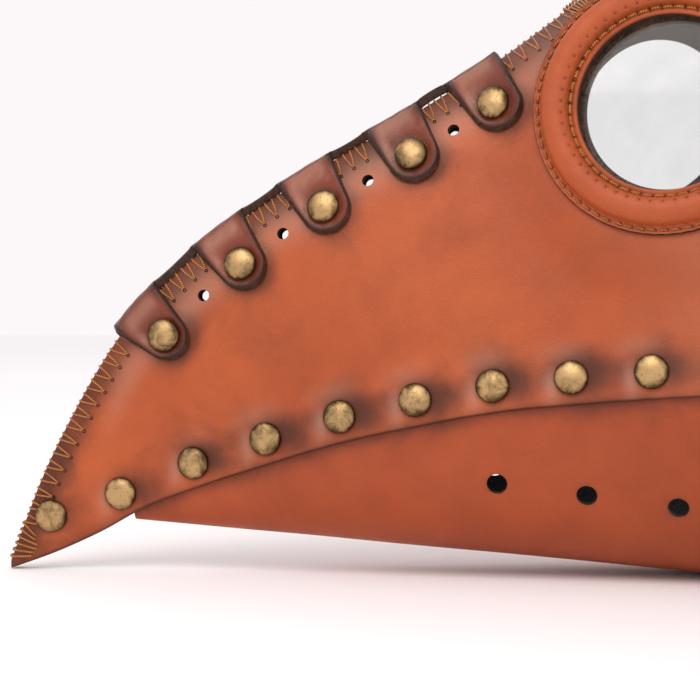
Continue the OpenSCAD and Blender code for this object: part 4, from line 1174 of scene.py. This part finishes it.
def make_ridge_strap():
    rows = strap_rows()
    cols = 56
    share = np.linspace(0, 1, cols)[:-1] ** 1.05 * 0.94
    near = np.array([2.0, 1.6, 1.25, 0.95, 0.7, 0.45, 0.25, 0.1, 0.0])
    reach = rows[:, 1:2]
    squeeze = np.minimum(1, reach / 12)
    u = np.concatenate([share * (reach - near[0] * squeeze), reach - near * squeeze], 1)
    run = np.r_[0, np.cumsum(np.diff(rows[:, 0]) / np.cos(ridge_angle(rows[1:, 0])))]
    tab_run = np.interp(TAB_F, rows[:, 0], run)
    s = run[:, None] - tab_run[np.argmin(np.abs(run[:, None] - tab_run), 1)][:, None]
    # distance to the outline, measured on the flattened strap
    fine_row = np.linspace(0, len(run) - 1, 4000)
    line = np.stack([np.interp(fine_row, np.arange(len(run)), v) for v in (run, reach[:, 0])], -1)
    ends = [np.stack([np.full(16, run[i]), np.linspace(0, reach[i, 0], 16)], -1) for i in (0, -1)]
    line = np.concatenate([line, *ends])
    edge = np.empty(u.shape)
    for i in range(len(u)):
        close = line[np.abs(line[:, 0] - run[i]) < 10]
        edge[i] = np.sqrt((u[i][:, None] - close[:, 1]) ** 2 + (run[i] - close[:, 0]) ** 2).min(1)
    from_rivet = np.hypot(s, u - CREST_ARC - TAB_RIVET_D)
    bevel = np.where(reach < CREST_ARC, 0.5, cut_bevel(s, np.maximum(u - CREST_ARC - 4, 0.01)))
    relief = -0.75 * glow(from_rivet - 4.7, 1.6, 2)
    relief += 0.22 * bell(edge - bevel - 0.9, 0.8) * (u > 3)
    relief += 0.1 * np.sin(run[:, None] * 0.9 + 1.3 * u) * np.sin(u * 0.55 + run[:, None] * 0.31)
    slope = np.clip(1 - edge / bevel, 0, 1)
    outer = TAB_T / 2 + relief - (TAB_T - 0.35) * slope - 0.12 * smooth(1 - np.abs(edge - bevel) / 0.3)
    outer = np.where(reach < CREST_ARC, TAB_T / 2 - edge_drop(edge, 0.5, 0.4), outer)
    u_in = u * rows[:, 2:3] / reach
    inner = edge_drop(edge, 0.3, 0.15) - TAB_T / 2 - rows[:, 4:5]
    top, under = strap_surface(rows, u, outer), strap_surface(rows, u_in, inner)
    both = [np.concatenate([p[:, ::-1], p[:, 1:] * MIRROR], 1) for p in (top, under)]
    points, quads, kind = slab(*both)
    mirrored = [np.concatenate([v[:, ::-1], v[:, 1:]], 1) for v in (edge, bevel, from_rivet, u)]
    edge, bevel, from_rivet, u = mirrored
    n = edge.size
    on_bevel = (edge < bevel * 0.96).ravel()
    face_edge = np.array([on_bevel[q].sum() >= 3 if k == 0 else True for q, k in zip(quads % n, kind)])
    o = solid(40, "ridge_strap_leather", points, quads, [RIDGE, EDGE], face_edge.astype(int))
    burnish_and_shade = 0.8 * glow(edge - bevel, 0.9, 1.5) + 0.5 * glow(from_rivet - 4.8, 0.9, 1.5)
    burnish_and_shade = burnish_and_shade + 0.45 * bell(u - 3.2, 3.4)
    attribute(o, "burnish_and_shade", np.concatenate([burnish_and_shade.ravel(), burnish_and_shade.ravel()]))
    s = np.broadcast_to(s, from_rivet.shape)
    # painted highlight: a pale band along the fold over the crest and a patch on the tip side of each rivet
    painted_sheen = 0.4 * bell(u - 6.0, 2.2) * smooth((7 - np.abs(s)) / 3)
    painted_sheen = painted_sheen + 0.45 * np.exp(-((s + 5.2) / 1.3) ** 2 - ((u - CREST_ARC - 8) / 4.5) ** 2)
    attribute(o, "painted_sheen", np.concatenate([painted_sheen.ravel(), painted_sheen.ravel()]))
    piece(o, "mask", "ridge_strap", finish="ridge_leather")


# ---------------------------------------------------------------- forehead


def arch_point(f, a):
    """Point of the forehead's arch, a radians from the middle."""
    e = off_panel(f, np.zeros_like(f), np.full(np.shape(f), -FOREHEAD_IN))
    bulge = e[..., 0] ** 2 / FOREHEAD_BULGE * np.cos(a)
    return stack(e[..., 0] * np.sin(a), e[..., 1] - bulge * math.cos(FOREHEAD_RISE),
                 e[..., 2] + bulge * math.sin(FOREHEAD_RISE))


def make_forehead():
    rows, cols = ((110, 170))
    length = FOREHEAD_TO - FOREHEAD_FROM
    f = FOREHEAD_FROM + rim_spaced(rows, np.array([length]))[0] * length
    flap_h = mix(FOREHEAD_FLAP_NARROW, FOREHEAD_FLAP, smooth((f - 180) / 14))
    ff = f[:, None]
    down = np.linspace(1, 0, 8)[None, :-1] * flap_h[:, None]
    flap = off_panel(np.broadcast_to(ff, down.shape), panel_v(ff, curve(TOP, ff) - down),
                     np.full(down.shape, -FOREHEAD_IN))
    a = np.linspace(math.pi / 2, -math.pi / 2, 61)[None]
    arch = arch_point(np.broadcast_to(ff, (len(f), 61)).astype(float), np.broadcast_to(a, (len(f), 61)))
    line = np.concatenate([flap, arch, flap[:, ::-1] * MIRROR], 1)
    g, at, run = resample(line, cols)
    n = grid_normals(g)
    n = n * np.sign(n[len(n) // 2, 0, 0])
    edge = np.minimum(np.minimum(at, run[:, None] - at),
                      np.minimum(f - FOREHEAD_FROM, FOREHEAD_TO - f)[:, None])
    half = PANEL_T / 2 - edge_drop(edge)
    wave = 0.25 * np.sin(g[..., 0] / 15 + 1) * np.sin(g[..., 1] / 11)
    wave = wave * smooth((FOREHEAD_TO - 6 - g[..., 1]) / 20)
    wave = wave * smooth((g[..., 2] - curve(TOP, g[..., 1]) - 5) / 8)
    points, quads, kind = slab(g + (half + wave)[..., None] * n, g + (wave - half)[..., None] * n)
    o = solid(50, "forehead_leather", points, quads, [TAN, LINING, EDGE], kind)
    p = from_frame(coords(o))
    burnish_and_shade = 0.6 * glow(p[:, 2] - curve(TOP, p[:, 1]) + 1, 6) + 0.5 * glow(FOREHEAD_TO - p[:, 1], 7)
    attribute(o, "burnish_and_shade", burnish_and_shade)
    piece(o, "mask", "forehead_panel", finish="tan_leather")


PAD_T = 6.0
PAD_SPAN = math.radians(54)
PAD_F = (262.0, 282.0)


def make_forehead_pad():
    """Brow pad: crowned foam that thins to a pressed edge, quilted across in five places."""
    rows, cols = 40, 130
    u, w = np.meshgrid(np.linspace(0, 1, rows), np.linspace(0, 1, cols), indexing="ij")
    g = arch_point(mix(*PAD_F, u), mix(PAD_SPAN, -PAD_SPAN, w))
    n = grid_normals(g)
    n = n * np.sign(n[len(n) // 2, 0, 0])
    wide = np.linalg.norm(g[0, 1:] - g[0, :-1], axis=1).sum()
    edge = np.minimum(np.minimum(u, 1 - u) * (PAD_F[1] - PAD_F[0]), np.minimum(w, 1 - w) * wide)
    crown = np.sqrt(np.clip(1 - (1 - np.clip(edge / 7.0, 0, 1)) ** 2, 0, 1))
    channel = np.zeros_like(w)
    for k in range(1, 6):
        channel = np.maximum(channel, bell((w - k / 6) * wide, 1.6))
    t = 1.0 + (PAD_T - 1.2) * crown * (1 - 0.42 * channel)
    top = -PANEL_T / 2 - 0.5
    points, quads, _ = slab(g + top * n, g + (top - t)[..., None] * n)
    o = solid(70, "forehead_pad_felt", points, quads, [FOAM])
    piece(o, "mask", "forehead_pad", finish="foam")


# ---------------------------------------------------------------- harness


def in_plane(points, plane):
    """Loop-plane points (a, b, c) to design points. plane is its (pivot, tilt)."""
    pivot, tilt = plane
    a, b, c = np.moveaxis(np.asarray(points, float), -1, 0)
    t = math.radians(tilt)
    return np.stack([a, pivot[0] + b * math.cos(t) - c * math.sin(t),
                     pivot[1] + b * math.sin(t) + c * math.cos(t)], -1)


def bezier(p, t):
    p, t = np.asarray(p, float), np.asarray(t, float)[..., None]
    s = 1 - t
    return s**3 * p[0] + 3 * s * s * t * p[1] + 3 * s * t * t * p[2] + t**3 * p[3]


def loop_curve(reach):
    return [(STRAP_X, STRAP_STRAIGHT), (STRAP_X, reach * 0.72), (STRAP_X + 4, reach), (BACK_HALF, reach)]


def free_curve(reach):
    return [(-STRAP_X, STRAP_STRAIGHT), (-STRAP_X, reach * 0.72), (-STRAP_X - 4, reach + FREE_IN_B),
            (-BACK_HALF, reach + FREE_IN_B)]


def buckle_strap_path(reach):
    fold = -HEEL_B
    g = np.radians(np.linspace(90, 270, 17))
    heel = np.stack([HEEL_A + fold * np.cos(g), reach + HEEL_B + fold * np.sin(g)], -1)
    inner = reach - STRAP_T - 0.1
    start = [(STRAP_X, -STRAP_W / 2), (STRAP_X, 0)]
    loop = bezier(loop_curve(reach), np.linspace(0, 1, 40))
    end = [(HEEL_A + 3, reach - 4.2), (HEEL_A + 6, inner), (FOLD_END_A, inner)]
    return np.concatenate([start, loop, [(HEEL_A + 6, reach)], heel, end])


def holed_strap_path(reach):
    a = np.linspace(*FREE_RISE, 27)
    b = mix(FREE_IN_B, FREE_OUT_B, smooth((a - FREE_RISE[0]) / (FREE_RISE[1] - FREE_RISE[0])))
    t = np.linspace(1, TAIL_T, 26)
    p, q = bezier(loop_curve(reach), t), bezier(loop_curve(reach), t - 0.01)
    d = unit(p - q)
    tail = p + FREE_OUT_B * np.stack([d[:, 1], -d[:, 0]], -1)
    start = [(-STRAP_X, -STRAP_W / 2), (-STRAP_X, 0)]
    loop = bezier(free_curve(reach), np.linspace(0, 1, 40))
    return np.concatenate([start, loop, np.stack([a, reach + b], -1), tail])


def even(path, step):
    """The path's points at even steps, close together by both ends, and its length."""
    run = np.r_[0, np.cumsum(np.linalg.norm(np.diff(path, axis=0), axis=1))]
    at = rim_spaced(int(run[-1] / step), np.array([run[-1]]))[0] * run[-1]
    p = np.stack([np.interp(at, run, path[:, k]) for k in (0, 1)], -1)
    for _ in range(2):
        p[1:-1] = 0.25 * p[:-2] + 0.5 * p[1:-1] + 0.25 * p[2:]
    return p, at, run[-1]


def strap_ribbon(name, path, plane, holes, tail_round, outside):
    """Leather strap along a loop-plane path. Its first end is round about the pivot."""
    p, at, length = even(path, 0.8)
    half_w = STRAP_W / 2
    width = np.where(at < half_w, np.sqrt(np.maximum(half_w**2 - (half_w - at) ** 2, 0.09)), half_w)
    left = length - at
    if tail_round:
        taper = 16.0
        narrowed = width * np.sqrt(np.maximum(1 - (1 - left / taper) ** 2.4, 0.004))
        width = np.where(left < taper, narrowed, width)
    share = 2 * rim_spaced(16, np.array([STRAP_W]), 6.0)[0] - 1
    d = unit(np.gradient(p, axis=0))
    m = np.stack([-d[:, 1], d[:, 0]], -1) * outside
    c = share[None] * width[:, None]
    side_edge = width[:, None] - np.abs(c)
    edge = np.minimum(side_edge, np.minimum(at, left)[:, None] * 1.5 + 0.4 * (width > 1.5)[:, None])
    crease = 0.22 * bell(side_edge - 1.9, 0.32)
    crease = crease * smooth((at - 4) / 4)[:, None] * smooth((left - 4) / 6)[:, None]
    t = STRAP_T / 2 - edge_drop(np.minimum(edge, side_edge), 0.6, 0.5)
    wave = 0.1 * np.sin(at[:, None] / 6.3) * np.sin(at[:, None] / 17 + c / 5)

    def face(off):
        a, b = (p[:, None, k] + off * m[:, None, k] for k in (0, 1))
        return in_plane(np.stack([a, b, c], -1), plane)

    points, quads, kind = slab(face(t - crease + np.minimum(wave, 0)), face(-t + np.maximum(wave, 0) * 0.5))
    o = build(name, points, quads, [STRAP, SUEDE, EDGE], kind)
    turn_out(o)
    bm = bmesh.new()
    r = SLOT_W / 2
    for a0, a1, b0, b1 in holes:
        mid_a, reach_a = (a0 + a1) / 2, (a1 - a0) / 2 - r
        line = []
        for g in np.linspace(-math.pi / 2, math.pi * 1.5, 33)[:-1] + 0.01:
            line.append((mid_a + math.copysign(reach_a, math.cos(g)) + r * math.cos(g), r * math.sin(g)))
        rings = [[bm.verts.new(to_frame(in_plane([(a, b, c)], plane)[0])) for a, c in line] for b in (b0, b1)]
        for k in range(len(line)):
            after = (k + 1) % len(line)
            bm.faces.new([rings[0][k], rings[0][after], rings[1][after], rings[1][k]])
        bm.faces.new(rings[0][::-1])
        bm.faces.new(rings[1])
    bmesh.ops.recalc_face_normals(bm, faces=bm.faces)
    if holes:
        apply_cut(o, bm)
    else:
        bm.free()
    crisp(o, 50)
    w = from_frame(coords(o))
    pivot, tilt = plane
    turn = math.radians(tilt)
    cc = (w[:, 2] - pivot[1]) * math.cos(turn) - (w[:, 1] - pivot[0]) * math.sin(turn)
    burnish_and_shade = 0.6 * glow(half_w - np.abs(cc), 1.2) + 0.16
    attribute(o, "burnish_and_shade", burnish_and_shade)
    return o


def rounded_loop(half_a, half_b, r, steps=8):
    """Corner-rounded rectangle as a closed line of points."""
    line = []
    for k, (sa, sb) in enumerate(((1, 1), (-1, 1), (-1, -1), (1, -1))):
        for g in np.linspace(0, math.pi / 2, steps):
            g = g + k * math.pi / 2
            line.append((sa * (half_a - r) + r * math.cos(g), sb * (half_b - r) + r * math.sin(g)))
    return np.array(line)


def keeper_band(name, reach, a0, plane):
    """Leather loop round the straps, drawn as a closed band; its butted, stitched seam on the inside is not
    drawn.
    """
    low, high = -STRAP_T * 1.5 - 0.4, FREE_OUT_B + STRAP_T / 2 + 0.3
    mid_b, half_b = (low + high) / 2, (high - low) / 2 + KEEPER_T / 2
    half_c = STRAP_W / 2 + 0.4 + KEEPER_T / 2
    line = rounded_loop(half_b, half_c, 1.5)
    run = np.roll(line, -1, 0) - np.roll(line, 1, 0)
    out = unit(np.stack([run[:, 1], -run[:, 0]], -1))
    across = np.array([0.0, 0.15, 0.45, 1.2, 4.0, 6.8, 7.55, 7.85, 8.0])
    edge = np.minimum(across, KEEPER_W - across)
    half = KEEPER_T / 2 - edge_drop(edge, 0.5, 0.4)
    section = [(x - KEEPER_W / 2, t) for x, t in zip(across, half)]
    section += [(x, -t) for x, t in section[::-1]]
    p = np.array([[(a0 + x, reach + mid_b + q[0] + t * m[0], q[1] + t * m[1]) for x, t in section]
                  for q, m in zip(line, out)])
    p = in_plane(p, plane).reshape(-1, 3)
    o = solid(60, name, p, ring_quads(len(line), len(section)), [STRAP])
    burnish_and_shade = np.tile([0.75 if min(x + 4, 4 - x) < 0.6 else 0.2 for x, _ in section], len(line))
    attribute(o, "burnish_and_shade", burnish_and_shade)
    return o


def swept(name, line, radius, plane, closed=True, sides=20):
    """Round bar along loop-plane points."""
    line = np.asarray(line, float)
    d = np.roll(line, -1, 0) - np.roll(line, 1, 0) if closed else np.gradient(line, axis=0)
    d = unit(d)
    ref = np.array([0.0, 1.0, 0.0])
    side = unit(np.cross(d, ref))
    up = np.cross(side, d)
    turn = np.arange(sides) * 2 * math.pi / sides
    radius = np.broadcast_to(radius, len(line))
    ring = np.cos(turn)[None, :, None] * side[:, None] + np.sin(turn)[None, :, None] * up[:, None]
    p = line[:, None] + radius[:, None, None] * ring
    faces = grid_quads(len(line), sides, close_rows=closed, close_cols=True).tolist()
    if not closed:
        faces += [list(range(sides))[::-1], list(range((len(line) - 1) * sides, len(line) * sides))]
    o = build(name, in_plane(p, plane).reshape(-1, 3), faces, [BRASS])
    turn_out(o)
    rub = 0.35 + 0.4 * (np.sin(turn)[None] > 0.2) + 0.15 * np.sin(np.arange(len(line)) / 3.0)[:, None]
    attribute(o, "rub", np.clip(rub, 0, 1).ravel())
    return o


def prong_bar(name, reach, plane):
    """Prong: a coil round the heel bar and a tapered arm to the front bar."""
    r = PRONG_R
    wrap = BAR_R + 0.55
    centre = np.array([HEEL_A, reach + HEEL_B, 0.0])
    tip = np.array([FRONT_A - 1.6, reach + HEEL_B + BAR_R + PRONG_R + 0.42, 0.0])
    root = np.array([HEEL_A - 1.6, reach + HEEL_B + 0.5, 0.0])
    arm = [mix(root, tip, s) for s in np.linspace(0, 1, 26)]
    radius = list(np.r_[np.full(22, r), r * np.array([0.97, 0.85, 0.6, 0.25])])
    o = swept(name, arm, radius, plane, closed=False)
    g = np.linspace(0, 2 * math.pi, 28, endpoint=False)
    band = []
    for q in np.linspace(0, 2 * math.pi, 14, endpoint=False):
        band.append((0.45 * math.cos(q), 1.35 * math.sin(q)))
    p = np.array([[(HEEL_A + (wrap + x) * math.cos(t), centre[1] + (wrap + x) * math.sin(t), z)
                   for x, z in band] for t in g])
    p = in_plane(p, plane).reshape(-1, 3)
    coil = build(name + "_eye", p, ring_quads(len(g), len(band)), [BRASS])
    turn_out(coil)
    attribute(coil, "rub", np.full(len(coil.data.vertices), 0.5))
    return o, coil


def make_harness():
    for level, plane, reach in (("upper", (UPPER_PIVOT, UPPER_TILT), UPPER_REACH),
                                ("lower", (LOWER_PIVOT, LOWER_TILT), LOWER_REACH)):
        strap = f"{level}_strap"
        slot = [(HEEL_A - 5, HEEL_A + 4, reach - 8, reach + 3)]
        o = strap_ribbon(f"{level}_buckle_strap_leather", buckle_strap_path(reach), plane, slot, False, -1)
        piece(o, strap, f"{level}_buckle_strap", finish="strap_leather")
        holes = [(-6.2, 4.8, reach - 8, reach + 6)]
        for k in (1, 2):
            mid = -2 - HOLE_PITCH * k
            holes.append((mid - SLOT_W / 2, mid + SLOT_W / 2, reach - 15, reach + 15))
        o = strap_ribbon(f"{level}_holed_strap_leather", holed_strap_path(reach), plane, holes, True, 1)
        piece(o, strap, f"{level}_holed_strap", finish="strap_leather")
        o = keeper_band(f"{level}_fixed_keeper_band", reach, FIXED_KEEPER_A, plane)
        piece(o, strap, f"{level}_fixed_keeper", finish="strap_leather")
        o = keeper_band(f"{level}_sliding_keeper_band", reach, SLIDING_KEEPER_A, plane)
        piece(o, f"{level}_keeper", f"{level}_sliding_keeper", finish="strap_leather")
        half_a, mid_a = (HEEL_A - FRONT_A) / 2, (HEEL_A + FRONT_A) / 2
        line = rounded_loop(half_a, RAIL_C, 1.6)
        dense = []
        for p, q in zip(line, np.roll(line, -1, 0)):
            long_side = np.linalg.norm(p - q) > 3
            dense += list(np.linspace(p, q, 7)[:-1]) if long_side else [p]
        dense = np.array(dense)
        bar = np.stack([mid_a + dense[:, 0], np.full(len(dense), reach + HEEL_B), dense[:, 1]], -1)
        o = swept(f"{level}_buckle_bar", bar, BAR_R, plane)
        piece(o, f"{level}_buckle", f"{level}_buckle_frame", finish="antique_brass")
        arm, coil = prong_bar(f"{level}_prong_arm", reach, plane)
        piece(arm, f"{level}_prong", f"{level}_buckle_prong", finish="antique_brass")
        piece(coil, f"{level}_prong", finish="antique_brass")
        sets = []
        for side in (1, -1):
            place = in_plane([(side * STRAP_X, 0, 0)], plane)[0]
            half = STRAP_T / 2 + PIVOT_GAP
            sets.append((place, (side, 0, 0), half, -half - PANEL_T - 0.2))
        o = cap_mesh(sets, f"{level}_pivot_caps", d=PIVOT_CAP_D, shank=4.0)
        piece(o, "mask", f"{level}_pivot_rivets", finish="antique_brass")


# ---------------------------------------------------------------- scene


def finish_cad_nodes():
    """The CAD nodes whose shape is already right get their materials."""
    for name in ("left_lens", "right_lens"):
        set_material(name, CLEAR)
    for name in ("left_lens_gasket", "right_lens_gasket"):
        set_material(name, RUBBER)
    for name in ("left_eye_ring_padding", "right_eye_ring_padding"):
        set_material(name, FOAM)


def set_material(name, material):
    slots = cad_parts[name].data.materials
    slots.clear()
    slots.append(material)


VIEW_AZIMUTH, VIEW_ELEVATION = math.radians(93.15), math.radians(1.96)
VIEW_TARGET = (0.0, 99.2, 64.25)
VIEW_DISTANCE = 600.0
VIEW_LENS, SENSOR = 106.3, 36.0


def make_camera():
    bpy.context.scene.view_settings.view_transform = "Standard"
    data = bpy.data.cameras.new("view")
    data.lens, data.sensor_width, data.sensor_fit = VIEW_LENS, SENSOR, "HORIZONTAL"
    data.clip_start, data.clip_end = 0.01, 20
    o = bpy.data.objects.new("view", data)
    level = math.cos(VIEW_ELEVATION)
    look = Vector((-math.sin(VIEW_AZIMUTH) * level, math.cos(VIEW_AZIMUTH) * level,
                   -math.sin(VIEW_ELEVATION)))
    o.location = Vector(to_frame(VIEW_TARGET)) - look * VIEW_DISTANCE * MM
    o.rotation_euler = look.to_track_quat("-Z", "Y").to_euler()
    bpy.context.scene.collection.objects.link(o)
    bpy.context.scene.camera = o


def make_floor():
    rows = 25
    y, x = np.meshgrid(np.linspace(-2.5, 2.5, rows), np.linspace(-2.5, 2.5, rows), indexing="ij")
    p = np.stack([x, y, np.zeros_like(x)], -1).reshape(-1, 3) / MM + (0, Y_MID, 0)
    n = Nodes("studio floor")
    colour = n.blend(n.ramp(n.noise(3, 2), 0.3, 0.7), (0.935, 0.92, 0.925), (0.95, 0.935, 0.94))
    material = n.finish(colour, 0.9, Specular_IOR_Level=0.1)
    o = build("studio_floor", p, grid_quads(rows, rows), [material])


def area_light(name, place, target, size, power, colour=(1, 1, 1)):
    data = bpy.data.lights.new(name, "AREA")
    data.shape, data.size, data.size_y = "RECTANGLE", size[0], size[1]
    data.energy, data.color = power, colour
    o = bpy.data.objects.new(name, data)
    o.location = place
    o.rotation_euler = (Vector(target) - Vector(place)).to_track_quat("-Z", "Y").to_euler()
    bpy.context.scene.collection.objects.link(o)


def make_lights():
    world = bpy.data.worlds.new("studio")
    world.use_nodes = True
    back = world.node_tree.nodes["Background"]
    back.inputs["Color"].default_value = (*srgb(252, 248, 249), 1)
    back.inputs["Strength"].default_value = 1.0
    bpy.context.scene.world = world
    area_light("key", (0.75, -0.35, 1.0), (0, -0.05, 0.1), (0.8, 0.8), 5.8, (1.0, 0.97, 0.94))
    area_light("fill", (1.0, 0.8, 0.5), (0, 0, 0.1), (0.9, 0.7), 1.5)
    area_light("back", (-0.9, 0.2, 0.9), (0, 0, 0.1), (1.4, 1.2), 0.8)


make_camera()
make_floor()
make_lights()
make_side_panels()
make_underside()
make_ridge_strap()
make_lacing()
make_thread_ends()
make_seam_holes()
make_rivets()
make_eyes()
make_eye_stitches()
make_forehead()
make_forehead_pad()
make_harness()
finish_cad_nodes()
